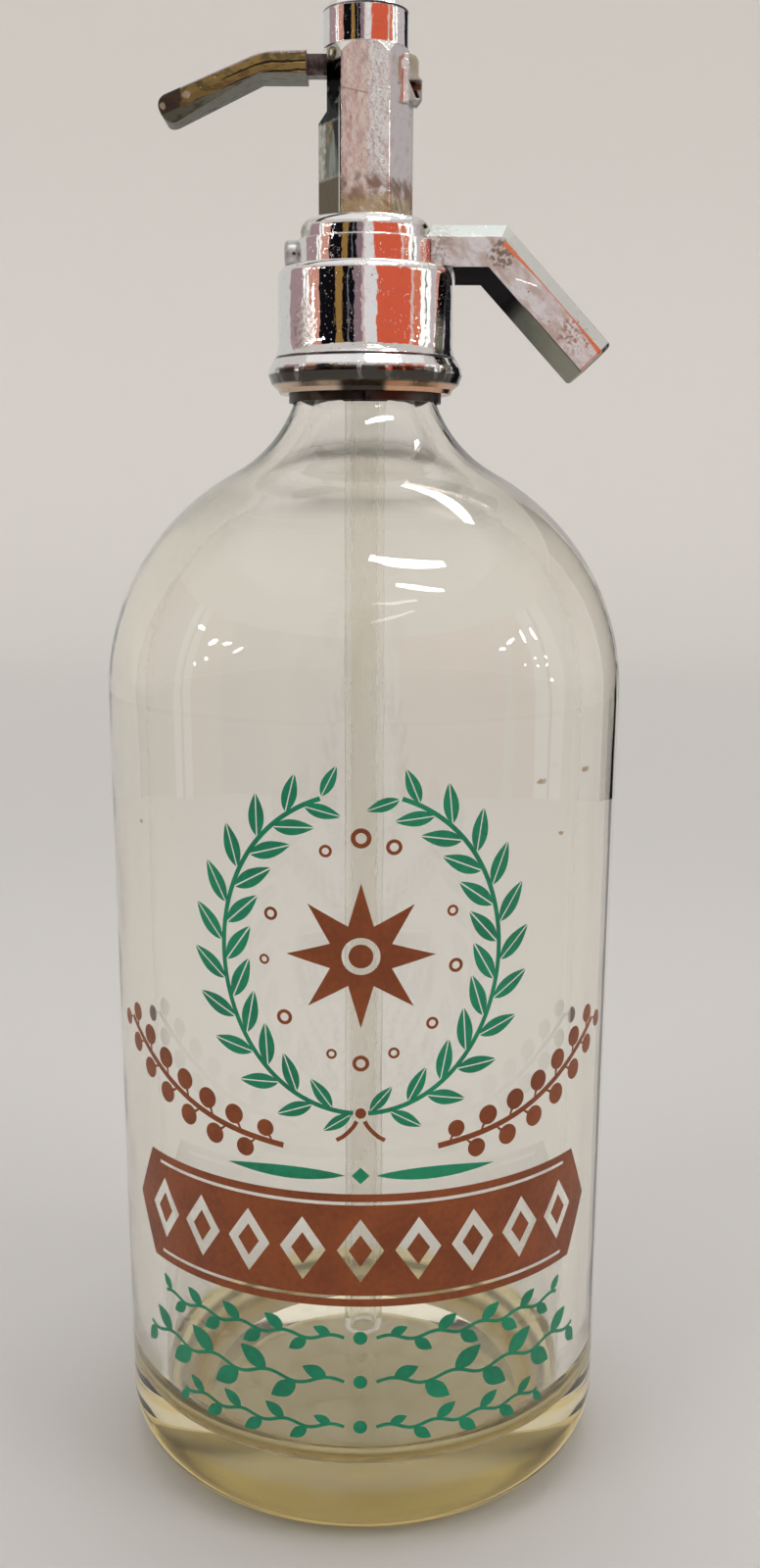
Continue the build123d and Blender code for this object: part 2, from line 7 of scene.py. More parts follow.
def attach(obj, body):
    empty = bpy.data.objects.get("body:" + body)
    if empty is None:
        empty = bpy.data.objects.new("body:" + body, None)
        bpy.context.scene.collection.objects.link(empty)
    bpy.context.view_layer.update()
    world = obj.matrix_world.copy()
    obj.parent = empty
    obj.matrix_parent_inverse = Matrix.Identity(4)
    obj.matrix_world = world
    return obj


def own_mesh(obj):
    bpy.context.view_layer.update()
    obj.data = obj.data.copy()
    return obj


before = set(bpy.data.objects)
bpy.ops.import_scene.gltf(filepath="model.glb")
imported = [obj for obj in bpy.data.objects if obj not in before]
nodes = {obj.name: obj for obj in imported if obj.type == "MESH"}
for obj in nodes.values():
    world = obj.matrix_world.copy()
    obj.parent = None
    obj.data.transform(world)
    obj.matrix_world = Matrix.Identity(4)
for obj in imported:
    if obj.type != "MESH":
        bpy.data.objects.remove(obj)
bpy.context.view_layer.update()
scene = bpy.context.scene
mm = 0.001
print("frame loaded:", len(nodes), "pieces")


# small helpers for node trees; they all work on the tree that was opened last

tree = None


def openTree(opened):
    global tree
    tree = opened
    return opened


def feed(sockets, values):
    for key, value in values.items():
        socket = sockets[key]
        if isinstance(value, bpy.types.NodeSocket):
            tree.links.new(value, socket)
        else:
            socket.default_value = (*value, 1) if socket.type == "RGBA" else value


def put(kind, inputs=None, **settings):
    node = tree.nodes.new(kind)
    for key, value in settings.items():
        setattr(node, key, value)
    feed(node.inputs, inputs or {})
    return node


def calc(operation, first, second=0.0, third=0.0, clamp=False):
    return put("ShaderNodeMath", {0: first, 1: second, 2: third}, operation=operation,
               use_clamp=clamp).outputs[0]


def vectorCalc(operation, first, second):
    return put("ShaderNodeVectorMath", {0: first, 1: second}, operation=operation).outputs[0]


def lengthOf(vector):
    return put("ShaderNodeVectorMath", {0: vector}, operation="LENGTH").outputs["Value"]


def line(value, slope, start, clamp=False):
    # value times slope, plus start
    return calc("MULTIPLY_ADD", value, slope, start, clamp)


def minus(value, taken):
    return calc("SUBTRACT", value, taken)


def unsigned(value):
    return calc("ABSOLUTE", value)


def offFrom(value, middle):
    return unsigned(minus(value, middle))


def times(*masks):
    result = masks[0]
    for mask in masks[1:]:
        result = calc("MULTIPLY", result, mask)
    return result


def step(value, low, high):
    # rises softly from 0 at low to 1 at high
    return put("ShaderNodeMapRange", {"Value": value, "From Min": low, "From Max": high},
               interpolation_type="SMOOTHSTEP").outputs["Result"]


def mixColor(share, first, second):
    return put("ShaderNodeMix", {0: share, 6: first, 7: second}, data_type="RGBA").outputs[2]


def cloudy(place, scale, detail=2.0, roughness=0.5):
    return put("ShaderNodeTexNoise", {"Vector": place, "Scale": scale, "Detail": detail,
                                      "Roughness": roughness}).outputs["Fac"]


def newGroup(name, inputs, outputs):
    kinds = {"vector": "NodeSocketVector", "value": "NodeSocketFloat"}
    group = openTree(bpy.data.node_groups.new(name, "ShaderNodeTree"))
    for key, value in {"Place": (0.0, 0.0, 0.0), **inputs}.items():
        kind = "vector" if isinstance(value, tuple) else "value"
        group.interface.new_socket(key, in_out="INPUT", socket_type=kinds[kind]).default_value = value
    for key in outputs:
        group.interface.new_socket(key, in_out="OUTPUT", socket_type=kinds["value"])
    return group, put("NodeGroupInput").outputs, put("NodeGroupOutput").inputs


def effect(group, place, output="Mask", **values):
    node = put("ShaderNodeGroup", node_tree=group)
    feed(node.inputs, {"Place": place, **values})
    return node.outputs[output]


def newMaterial(name):
    material = bpy.data.materials.new(name)
    material.use_nodes = True
    openTree(material.node_tree).nodes.clear()
    out = put("ShaderNodeOutputMaterial")
    shader = put("ShaderNodeBsdfPrincipled")
    tree.links.new(shader.outputs[0], out.inputs["Surface"])
    return material, shader.inputs, put("ShaderNodeTexCoord").outputs["Object"]


def wornSurface(shader, height, depth, edge=0.0):
    # bump, over edges that look softly rounded
    bump = put("ShaderNodeBump", {"Height": height, "Distance": depth})
    if edge:
        rounded = put("ShaderNodeBevel", {"Radius": edge}, samples=6)
        tree.links.new(rounded.outputs["Normal"], bump.inputs["Normal"])
    tree.links.new(bump.outputs["Normal"], shader["Normal"])


def dress(material, *names):
    for name in names:
        mesh = nodes[name].data
        mesh.materials.clear()
        mesh.materials.append(material)


def addObject(name, data):
    thing = bpy.data.objects.new(name, data)
    scene.collection.objects.link(thing)
    return thing


# camera

cameraSet = {"place": (0.003408, -0.3336, 0.21044), "tiltDown": 10.687, "roll": 0.231, "lens": 36.0,
             "sensor": 36.0}


def makeCamera(values):
    data = bpy.data.cameras.new("camera")
    data.lens = values["lens"]
    data.sensor_width = values["sensor"]
    data.clip_start = 0.01
    camera = addObject("camera", data)
    tilt = Matrix.Rotation(math.radians(90 - values["tiltDown"]), 4, "X")
    roll = Matrix.Rotation(math.radians(values["roll"]), 4, "Z")
    camera.matrix_world = Matrix.Translation(values["place"]) @ tilt @ roll
    scene.camera = camera


makeCamera(cameraSet)
print("camera placed")


# floor that curves up all round into a wall, paler far out, with painted light under the bottle: a warm pale
# patch that stands in for light coming through the glass base

stageSet = {"floorRadius": 1.5, "bendRadius": 0.9, "wallHeight": 2.6, "segments": 96, "bendSteps": 12,
            "floor": (0.58, 0.57, 0.56), "wall": (0.85, 0.83, 0.805), "fade": (0.5, 2.4),
            "centre": (0.97, 0.88, 0.60), "paintedLightEdge": (0.0455, 0.041),
            "sky": (1.0, 0.985, 0.97), "skyStrength": 0.84}


def makeStage(values):
    profile = [(0.0, 0.0), (values["floorRadius"], 0.0)]
    for number in range(1, values["bendSteps"] + 1):
        turn = math.pi / 2 * number / values["bendSteps"]
        profile.append((values["floorRadius"] + values["bendRadius"] * math.sin(turn),
                        values["bendRadius"] * (1 - math.cos(turn))))
    profile.append((profile[-1][0], values["wallHeight"]))
    shape = bmesh.new()
    points = [shape.verts.new((r, 0, z)) for r, z in profile]
    for first, second in zip(points, points[1:]):
        shape.edges.new((first, second))
    bmesh.ops.spin(shape, geom=shape.verts[:] + shape.edges[:], axis=(0, 0, 1), cent=(0, 0, 0),
                   angle=2 * math.pi, steps=values["segments"], use_merge=True)
    bmesh.ops.remove_doubles(shape, verts=shape.verts, dist=1e-5)
    mesh = bpy.data.meshes.new("studioFloor")
    shape.to_mesh(mesh)
    shape.free()
    mesh.shade_smooth()
    material, shader, place = newMaterial("pale floor")
    reach = lengthOf(place)
    color = mixColor(step(reach, *values["fade"]), values["floor"], values["wall"])
    # painted light: a warm pale patch on the floor under the bottle
    color = mixColor(step(reach, *values["paintedLightEdge"]), color, values["centre"])
    feed(shader, {"Base Color": color, "Roughness": 0.85, "Specular IOR Level": 0.2})
    mesh.materials.append(material)
    addObject("studioFloor", mesh)


def makeSky(values):
    world = bpy.data.worlds.new("sky")
    scene.world = world
    world.use_nodes = True
    background = world.node_tree.nodes["Background"].inputs
    feed(background, {"Color": values["sky"], "Strength": values["skyStrength"]})


# lamps that light, and panels that only show as reflections

lampSet = {
    "leftSoftbox": {"place": (-1.0, -0.9, 1.1), "size": (0.7, 0.9), "power": 5, "color": (1.0, 0.97, 0.93)},
    "rightSoftbox": {"place": (1.1, -0.7, 1.0), "size": (0.7, 0.9), "power": 6, "color": (1.0, 0.97, 0.93)},
    "topSoftbox": {"place": (0.1, 0.3, 1.5), "size": (0.9, 0.7), "power": 4, "color": (1.0, 0.98, 0.96)},
}
# each strip: the azimuth where it ends, in degrees from the front, and its color
stripSet = {"radius": 0.75, "levels": (0.0, 0.58), "first": -178, "faceWidth": 4, "strips": [
    (-114, (0.60, 0.59, 0.56)), (-87, (0.36, 0.25, 0.26)), (-83, (1.15, 1.13, 1.09)),
    (-81.3, (0.10, 0.12, 0.09)), (-77, (1.15, 1.13, 1.09)), (-61, (0.60, 0.29, 0.22)),
    (-38, (0.004, 0.004, 0.006)), (-29, (0.30, 0.17, 0.05)), (-22, (0.004, 0.004, 0.006)),
    (-20, (0.16, 0.16, 0.17)), (-14, (0.004, 0.004, 0.006)), (-4, (0.24, 0.17, 0.19)),
    (-0.7, (0.62, 0.43, 0.40)), (15, (0.72, 0.70, 0.69)), (61, (0.64, 0.11, 0.055)), (66, (0.66, 0.47, 0.43)),
    (77, (0.64, 0.18, 0.10)), (84.6, (1.15, 1.13, 1.09)), (86.4, (0.05, 0.10, 0.07)),
    (94, (1.15, 1.13, 1.09)), (128, (0.52, 0.47, 0.48)), (152, (0.01, 0.01, 0.012)),
    (178, (0.50, 0.48, 0.47))]}
# each glint: azimuth and elevation of its start, then of its end, and its width, in degrees, and its strength
glintSet = {"distance": 0.66, "height": 0.19, "steps": 6, "color": (1.0, 0.99, 0.95), "glints": [
    (-81, 20.8, -76.5, 20.6, 1.6, 24), (-70.8, 16.2, -67.5, 18.8, 1.8, 24), (-64, 17.6, -59.5, 18.6, 1.5, 20),
    (-57.5, 15.2, -53.2, 18, 1.3, 16), (-76.6, 8, -75.2, 8.2, 1.4, 18), (-70.6, 11.2, -69, 10.6, 1.4, 18),
    (80.9, 20.5, 82.4, 16, 1.7, 24), (75, 21.5, 76, 16.5, 1.7, 24), (65.8, 18, 70, 19.2, 1.5, 20),
    (61, 16.9, 64.6, 16.4, 1.3, 16), (72, 8.6, 73.4, 8.8, 1, 16), (78.2, 10.4, 79.4, 9.6, 1, 16),
    (84.8, 9.4, 86.1, 8.6, 1, 16), (79.2, 7.4, 80.3, 6.6, 1, 16), (84.5, 6.2, 86, 6.8, 1, 16),
    (86, 1.8, 87.6, 1.2, 1, 16), (4, 65, 58, 55, 5, 28), (19, 50.5, 46, 44.5, 2.4, 22),
    (158, 65, 109, 56.5, 6, 24), (178, 68.6, 175.4, 66.6, 2.5, 20), (3.8, 42.1, 29.5, 42.4, 1.4, 6),
    (3.4, 34, 26.3, 38, 1.2, 6)]}


def makeLamp(name, place, size, power, color):
    data = bpy.data.lights.new(name, "AREA")
    data.shape = "RECTANGLE"
    data.size, data.size_y = size
    data.energy = power
    data.color = color
    lamp = addObject(name, data)
    lamp.location = place
    lamp.rotation_euler = (Vector((0, 0, 0.2)) - Vector(place)).to_track_quat("-Z", "Y").to_euler()
    lamp.visible_glossy = False
    lamp.visible_transmission = False


def around(azimuth, radius, z):
    turn = math.radians(azimuth)
    return Vector((radius * math.sin(turn), -radius * math.cos(turn), z))


def makePanel(name, points, color, strength=1.0):
    # a glowing ladder of faces between pairs of points
    material, shader, place = newMaterial(name)
    feed(shader, {"Base Color": (0, 0, 0), "Roughness": 1.0, "Specular IOR Level": 0.0,
                  "Emission Color": color, "Emission Strength": strength})
    mesh = bpy.data.meshes.new(name)
    mesh.from_pydata(points, [], [(k, k + 2, k + 3, k + 1) for k in range(0, len(points) - 2, 2)])
    mesh.materials.append(material)
    panel = addObject(name, mesh)
    for ray in ("camera", "diffuse", "transmission", "volume_scatter", "shadow"):
        setattr(panel, "visible_" + ray, False)


def makeStrips(values):
    start = values["first"]
    for number, (end, color) in enumerate(values["strips"]):
        count = max(2, round((end - start) / values["faceWidth"]))
        azimuths = [start + (end - start) * index / count for index in range(count + 1)]
        points = [around(azimuth, values["radius"], level)
                  for azimuth in azimuths for level in values["levels"]]
        makePanel("reflectedStrip" + str(number), points, color)
        start = end


def makeGlints(values):
    # slim panels that narrow towards both ends
    centre = Vector((0, 0, values["height"]))
    distance, steps = values["distance"], values["steps"]
    for number, (turn1, rise1, turn2, rise2, width, strength) in enumerate(values["glints"]):
        middle, points = [], []
        for index in range(steps + 1):
            share = index / steps
            rise = math.radians(rise1 + (rise2 - rise1) * share)
            middle.append(around(turn1 + (turn2 - turn1) * share, math.cos(rise), math.sin(rise)) * distance)
        for index, point in enumerate(middle):
            run = middle[min(index + 1, steps)] - middle[max(index - 1, 0)]
            half = math.radians(width) / 2 * distance * (0.55 + 0.45 * math.sin(math.pi * index / steps))
            side = run.cross(point).normalized() * half
            points += [centre + point - side, centre + point + side]
        makePanel("glint" + str(number), points, values["color"], strength)


makeStage(stageSet)
makeSky(stageSet)
for lampName, lampValues in lampSet.items():
    makeLamp(lampName, **lampValues)
makeStrips(stripSet)
makeGlints(glintSet)
scene.view_settings.view_transform = "Standard"
print("stage lit")


# effects that several finishes share; their sizes are in millimetres

def perMetre(size):
    return calc("DIVIDE", 1000.0, size)


def pittingGroup():
    # small round pits that gather in patches
    group, given, result = newGroup("pitting", {"Size": 0.5, "Amount": 0.5, "Patch": 6.0}, ["Mask", "Height"])
    cells = put("ShaderNodeTexVoronoi", {"Vector": given["Place"], "Scale": perMetre(given["Size"])})
    patch = cloudy(given["Place"], perMetre(given["Patch"]), 3.0)
    share = times(step(patch, 0.42, 0.68), given["Amount"])
    picked = put("ShaderNodeSeparateColor", {"Color": cells.outputs["Color"]}).outputs
    chosen = calc("LESS_THAN", picked["Red"], share)
    radius = line(picked["Green"], 0.28, 0.12)
    inside = calc("SUBTRACT", 1.0, calc("DIVIDE", cells.outputs["Distance"], radius), clamp=True)
    mask = times(chosen, step(inside, 0.0, 0.6))
    feed(result, {"Mask": mask, "Height": times(mask, -1.0)})
    return group


def scratchGroup():
    # fine wandering broken lines
    group, given, result = newGroup("scratches", {"Stretch": (1.0, 1.0, 0.25), "Spacing": 8.0, "Width": 0.006,
                                                  "Amount": 0.5}, ["Mask"])
    drawn = vectorCalc("MULTIPLY", given["Place"], given["Stretch"])
    scale = perMetre(given["Spacing"])
    off = offFrom(cloudy(drawn, scale), 0.5)
    breaks = cloudy(given["Place"], times(scale, 2.3))
    feed(result, {"Mask": times(step(off, given["Width"], 0.0), step(breaks, 0.5, 0.6), given["Amount"])})
    return group


def grimeGroup():
    # cloudy patches, stronger where the surface faces down
    group, given, result = newGroup("grime", {"Size": 9.0, "Amount": 0.5, "Underneath": 0.5}, ["Mask"])
    cloud = cloudy(given["Place"], perMetre(given["Size"]), 6.0, 0.65)
    below = times(step(facing("Z"), -0.2, -0.8), given["Underneath"])
    feed(result, {"Mask": calc("ADD", times(step(cloud, 0.45, 0.75), given["Amount"]), below, clamp=True)})
    return group


def unevennessGroup():
    # the slow waves of a polished or blown surface
    group, given, result = newGroup("unevenness", {"Size": 10.0}, ["Height"])
    feed(result, {"Height": cloudy(given["Place"], perMetre(given["Size"]), 1.0)})
    return group


def facing(axis):
    # how far the surface faces along an axis
    normal = put("ShaderNodeNewGeometry").outputs["Normal"]
    return put("ShaderNodeSeparateXYZ", {"Vector": normal}).outputs[axis]


pitting = pittingGroup()
scratches = scratchGroup()
grime = grimeGroup()
unevenness = unevennessGroup()


# finishes in layers; places and sizes are in millimetres

coat = {}  # color, roughness and height of the finish that is being built up


def cover(mask, color=None, rough=None, height=None):
    # lays another finish over the coat; several masks are multiplied
    if isinstance(mask, tuple):
        mask = times(*mask)
    if color is not None:
        coat["color"] = mixColor(mask, coat["color"], color)
    if rough is not None:
        mixed = put("ShaderNodeMix", {0: mask, 2: coat["rough"], 3: rough}, data_type="FLOAT")
        coat["rough"] = mixed.outputs[0]
    if height is not None:
        coat["height"] = line(mask, height, coat["height"])


def millimetres(place):
    scaled = put("ShaderNodeVectorMath", {0: place, "Scale": 1000.0}, operation="SCALE").outputs[0]
    return scaled, *put("ShaderNodeSeparateXYZ", {"Vector": scaled}).outputs


def noise(place, size, detail=3.0, stretch=None):
    if stretch:
        place = vectorCalc("MULTIPLY", place, stretch)
    return cloudy(place, 1000.0 / size, detail)


def patchAt(spot, centre, size, ragged=0.9):
    # a ragged patch round a point
    away = vectorCalc("MULTIPLY", vectorCalc("SUBTRACT", spot, centre), tuple(1 / s for s in size))
    edge = line(minus(cloudy(spot, 1.1, 4.0), 0.5), 2 * ragged, lengthOf(away))
    return step(edge, 1.0, 0.55)


def within(value, low, high, soft=0.1):
    # 1 between low and high
    return times(step(value, low - soft, low + soft), step(value, high + soft, high - soft))


def slanted(place, size, turn, stretch, detail=4.0):
    # noise drawn out along a line in the XZ plane, turned downwards from X
    drawn = put("ShaderNodeMapping", {"Vector": place, "Rotation": (0, math.radians(turn), 0),
                                      "Scale": (stretch, 1, 1)}, vector_type="TEXTURE").outputs[0]
    return noise(drawn, size, detail)


def across(x, z, start, slope):
    # distance in the XZ plane from a line through start that runs down at the slope, up is positive
    turn = math.radians(slope)
    side = times(minus(x, start[0]), math.sin(turn))
    return line(minus(z, start[1]), math.cos(turn), side)


def plateLayers(place, look):
    # bright or satin plate with waves, dents, pits, specks, haze and fine scratches
    rough = look["roughness"]
    waves = times(noise(place, look["waveSize"], 1.5), look["wave"])
    coat.update(color=look["color"], rough=rough, height=waves)
    cover(effect(pitting, place, Size=0.5, Amount=look["dents"], Patch=4.0), None, None, -0.02)
    cover(effect(grime, place, Amount=look["haze"], Underneath=0.0, Size=5.0), look["dull"], rough + 0.25)
    cover(effect(scratches, place, Amount=look["scratches"]), None, rough + 0.3, -0.004)
    for size, amount, depth in look["pits"]:
        cover(effect(pitting, place, Size=size, Amount=amount, Patch=size * 9), look["stain"], 0.5, -depth)


def plate(node, name, look, paint, values, edge=None):
    # a plate finish with the paint of one piece over it
    material, shader, place = newMaterial(name)
    plateLayers(place, look)
    paint(place, *millimetres(place), values)
    feed(shader, {"Base Color": coat["color"], "Roughness": coat["rough"], "Metallic": 1.0})
    wornSurface(shader, coat["height"], mm, edge or look["edge"])
    dress(material, node)


brightLook = {"color": (0.90, 0.89, 0.89), "dull": (0.66, 0.64, 0.62), "stain": (0.09, 0.06, 0.04),
              "roughness": 0.035, "haze": 0.25, "waveSize": 2.2, "wave": 0.05, "scratches": 0.5, "dents": 0.8,
              "pits": [(0.38, 0.45, 0.01), (0.7, 0.18, 0.02)], "edge": 0.22 * mm}
satinLook = {"color": (0.76, 0.72, 0.72), "dull": (0.56, 0.51, 0.49), "stain": (0.12, 0.08, 0.05),
             "roughness": 0.16, "haze": 0.6, "waveSize": 2.0, "wave": 0.05, "scratches": 0.7, "dents": 0.4,
             "pits": [(0.35, 0.5, 0.01), (0.7, 0.16, 0.02)], "edge": 0.25 * mm}


capSet = {"groove": (302.5, 303.0), "darkening": (0.015, 0.014, 0.013)}


def capPaint(place, spot, x, y, z, look):
    # painted shade in the turned groove under the top edge, thicker to the right
    share = line(step(x, -4.0, 2.0), 0.55, 0.4)
    cover((within(z, *look["groove"], 0.12), share), look["darkening"], 0.4)


collarSet = {"centre": (-12.2, -13.2, 241.5), "size": (3.2, 4.5, 6.0), "light": (0.80, 0.79, 0.76),
             "dark": (0.56, 0.54, 0.52)}


def collarPaint(place, spot, x, y, z, look):
    # a patch on the lower left where the plate has gone matt
    mottled = step(noise(place, 0.9, 4.0), 0.42, 0.58)
    cover(patchAt(spot, look["centre"], look["size"], 0.5), mixColor(mottled, look["light"], look["dark"]),
          0.24, -0.02)


ringSet = {"under": (0.10, 0.09, 0.07), "band": (231.2, 234.0), "bandEnds": (18.6, 16.8),
           "paintedShadeBand": (0.075, 0.068, 0.06), "lip": (231.3, 230.9), "lipDarkReflection": (0.06, 0.05, 0.045),
           "lipRedReflection": (0.80, 0.45, 0.28), "lipTanReflection": (0.72, 0.55, 0.42), "joint": (235.95, 236.2),
           "jointColor": (0.02, 0.018, 0.016)}


def ringPaint(place, spot, x, y, z, look):
    # painted shade on the faces that look down and on a band of the lower flange, dark at the joint, and
    # painted reflections round the lip
    darkening = noise(place, 2.5, 5.0)
    cover((step(facing("Z"), -0.05, -0.3), line(darkening, 0.5, 0.65, clamp=True)), look["under"], 0.14)
    ends = step(unsigned(x), *look["bandEnds"])
    streaks = step(noise(place, 2.2, 3.0, (1.0, 1.0, 0.2)), 0.66, 0.56)
    # painted shade: a dark band round the lower flange, fading at both ends
    cover((within(z, *look["band"], 0.35), ends, streaks), look["paintedShadeBand"], 0.14)
    # painted reflections round the lip: dark in the middle, red to the right, tan to the left
    lip = step(z, *look["lip"])
    cover((lip, within(x, -4.5, 4.0, 1.0)), look["lipDarkReflection"], 0.12)
    cover((lip, step(x, 3.5, 5.0), 0.8), look["lipRedReflection"], 0.15)
    cover((lip, step(x, -4.0, -6.0), 0.8), look["lipTanReflection"], 0.2)
    cover((step(z, *look["joint"]), line(darkening, 0.6, 0.5, clamp=True)), look["jointColor"], 0.4)


facetReflectionSet = {"light": (0.60, 0.58, 0.53), "grey": (0.44, 0.42, 0.37), "dark": (282.5, 293.6),
            "black": (0.010, 0.011, 0.014), "pale": (0.46, 0.50, 0.45), "middle": (271.2, 281.6),
            "green": (0.33, 0.365, 0.325), "deepGreen": (0.17, 0.185, 0.155), "goldBand": (277.6, 281.6),
            "gold": (0.45, 0.30, 0.11), "wedge": ((-6.6, 281.5), 81.0), "wedgeColor": (0.015, 0.015, 0.017),
            "foot": (272.2, 271.4), "footColor": (0.16, 0.14, 0.09), "glint": (-5.25, -5.05),
            "glintColor": (0.85, 0.85, 0.80)}


def facetPaint(place, x, y, z, column, look):
    # painted reflections on the left facet, from the top: grey, black with pale slanting patches, grey-green
    # with gold specks, brown-grey at the foot; and a painted highlight along its front edge
    left = times(column, step(facing("X"), -0.4, -0.7))
    mottle = noise(place, 1.6, 5.0)
    cover(left, mixColor(step(mottle, 0.4, 0.6), look["light"], look["grey"]), 0.2)
    inDark = within(line(mottle, 1.6, z), *look["dark"], 0.5)
    cover((left, inDark), look["black"], 0.12)
    cover((left, inDark, step(slanted(place, 3.4, -35, 2.6), 0.55, 0.62)), look["pale"], 0.25)
    middle = times(left, within(z, *look["middle"], 0.4))
    inner = step(line(mottle, 1.5, x), -7.6, -7.0)
    upright = step(noise(place, 1.3, 4.0, (1.0, 1.0, 0.12)), 0.42, 0.58)
    cover((middle, inner), mixColor(upright, look["green"], look["deepGreen"]), 0.25)
    cover((middle, inner, within(z, *look["goldBand"], 0.8), step(mottle, 0.5, 0.6)), look["gold"], 0.3)
    wedge = line(mottle, 1.0, across(x, z, *look["wedge"]))
    cover((middle, step(wedge, 0.3, 0.7)), look["wedgeColor"], 0.15)
    cover((left, step(line(mottle, 1.5, z), *look["foot"])), look["footColor"], 0.3)
    # painted highlight: a pale line near the front edge of the left facet
    cover((left, within(x, *look["glint"], 0.08), step(z, 286.5, 285.0)), look["glintColor"], 0.2)


bossSet = {"color": (0.46, 0.455, 0.43), "from": (8.3, 9.0), "above": (284.5, 285.4),
           "olive": (0.40, 0.39, 0.31), "slot": (0.6, 1.8), "slotShade": (0.012, 0.011, 0.011),
           "rust": (288.9, 290.5), "rustColor": (0.20, 0.09, 0.05)}


def bossPaint(place, x, y, z, column, look):
    # duller plate, with painted shade on the dome and in the dark slot between the cheeks
    boss = times(column, step(x, *look["from"]), step(z, *look["above"]))
    cover(boss, look["color"], 0.4)
    # painted shade: an olive patch on the upper part of the dome
    cover((boss, step(z, 289.5, 292.0), step(noise(place, 2.5, 3.0), 0.4, 0.6)), look["olive"], 0.45)
    inside = times(boss, within(y, *look["slot"], 0.2), step(x, 11.2, 11.0))
    cheek = line(z, 0.436, x)
    # painted shade in the slot between the cheeks
    cover((inside, step(cheek, 136.4, 136.0)), look["slotShade"], 0.3)
    cover((inside, within(z, *look["rust"], 0.3)), look["rustColor"], 0.35)


headSet = {"ringTop": 263.8, "stainedFrom": 259.4, "ringStain": (0.30, 0.27, 0.17), "roughness": 0.09,
           "edge": 0.4 * mm, "column": (0.79, 0.78, 0.755), "pink": (0.78, 0.68, 0.62),
           "crease": (286.3, 0.2), "creaseColor": (0.45, 0.36, 0.32), "pitColor": (0.22, 0.18, 0.15),
           "cloud": (0.36, 0.25, 0.20), "straw": (0.55, 0.44, 0.26), "dark": (0.13, 0.09, 0.055),
           "pale": (0.80, 0.77, 0.70), "joint": (264.35, 263.95), "jointColor": (0.05, 0.04, 0.03)}


def headPaint(place, spot, x, y, z, look):
    # bright turned rings below, a pitted satin column above with a stained foot
    ringStain = times(within(z, look["stainedFrom"], look["ringTop"]),
                      step(unsigned(x), 9.5, 13.0), step(noise(place, 2.0, 4.0), 0.3, 0.6))
    cover(ringStain, look["ringStain"], 0.2)
    column = step(z, look["ringTop"] + 0.02, look["ringTop"] + 0.12)
    cover(column, look["column"], look["roughness"], times(noise(place, 1.1, 4.0), 0.014))
    front = times(column, step(facing("Y"), -0.7, -0.95))
    cloud = noise(place, 2.6, 6.0)
    pinkish = times(front, step(line(cloud, 2.4, x), 2.2, 1.4))
    cover(pinkish, look["pink"], 0.14)
    cover((column, step(cloud, 0.5, 0.75), 0.45), satinLook["dull"], 0.22)
    level, slope = look["crease"]
    crease = unsigned(line(x, slope, minus(z, level)))
    cover((pinkish, step(crease, 0.28, 0.05), 0.6), look["creaseColor"], 0.3)
    fine = step(slanted(place, 0.34, 40, 1.9, 3.0), 0.56, 0.68)
    cover((front, fine, step(line(cloud, 3.0, x), 0.6, 2.6), 0.62), look["pitColor"], 0.4, -0.01)
    facetPaint(place, x, y, z, column, facetReflectionSet)
    streaks = slanted(place, 1.3, 50, 3.0)
    level = line(streaks, 5.0, z)
    notLeft = times(column, step(facing("X"), -0.5, -0.3))
    cover((notLeft, step(level, 274.4, 271.8), step(cloud, 0.36, 0.56)), look["cloud"], 0.3)
    foot = times(notLeft, step(level, 271.6, 268.4), 0.9)
    cover(foot, look["straw"], 0.26)
    cover((foot, step(streaks, 0.54, 0.68), 0.7), look["dark"], 0.4)
    cover((foot, step(streaks, 0.46, 0.34), 0.7), look["pale"], 0.2)
    cover((column, step(z, *look["joint"]), step(cloud, 0.35, 0.5)), look["jointColor"], 0.5)
    bossPaint(place, x, y, z, column, bossSet)


leverSet = {"flat": (294.7, 0.0345, -11.6), "slope": (294.4, 0.4163, -20.3), "blend": 1.5,
            "lines": [(1.95, (-31.0, -26.0)), (3.75, None)], "lineWidth": 0.2, "handle": (-11.3, -11.7),
            "brass": (0.42, 0.315, 0.115), "olive": (0.20, 0.17, 0.075), "gold": (0.86, 0.66, 0.27),
            "brown": (0.22, 0.145, 0.06), "groove": (0.035, 0.022, 0.012), "under": (0.155, 0.15, 0.115),
            "tip": -36.3, "tipColor": (0.075, 0.055, 0.052), "neck": (-12.0, -11.5),
            "neckColor": (0.15, 0.125, 0.115), "neckDark": (0.045, 0.036, 0.034),
            "glint": ((-35.2, -5.3, 286.4), (1.0, 1.4, 0.8)), "glintColor": (0.95, 0.86, 0.62),
            "rub": ((-40.0, -5.3, 284.2), (0.7, 1.4, 0.9)), "rubColor": (0.62, 0.55, 0.40)}


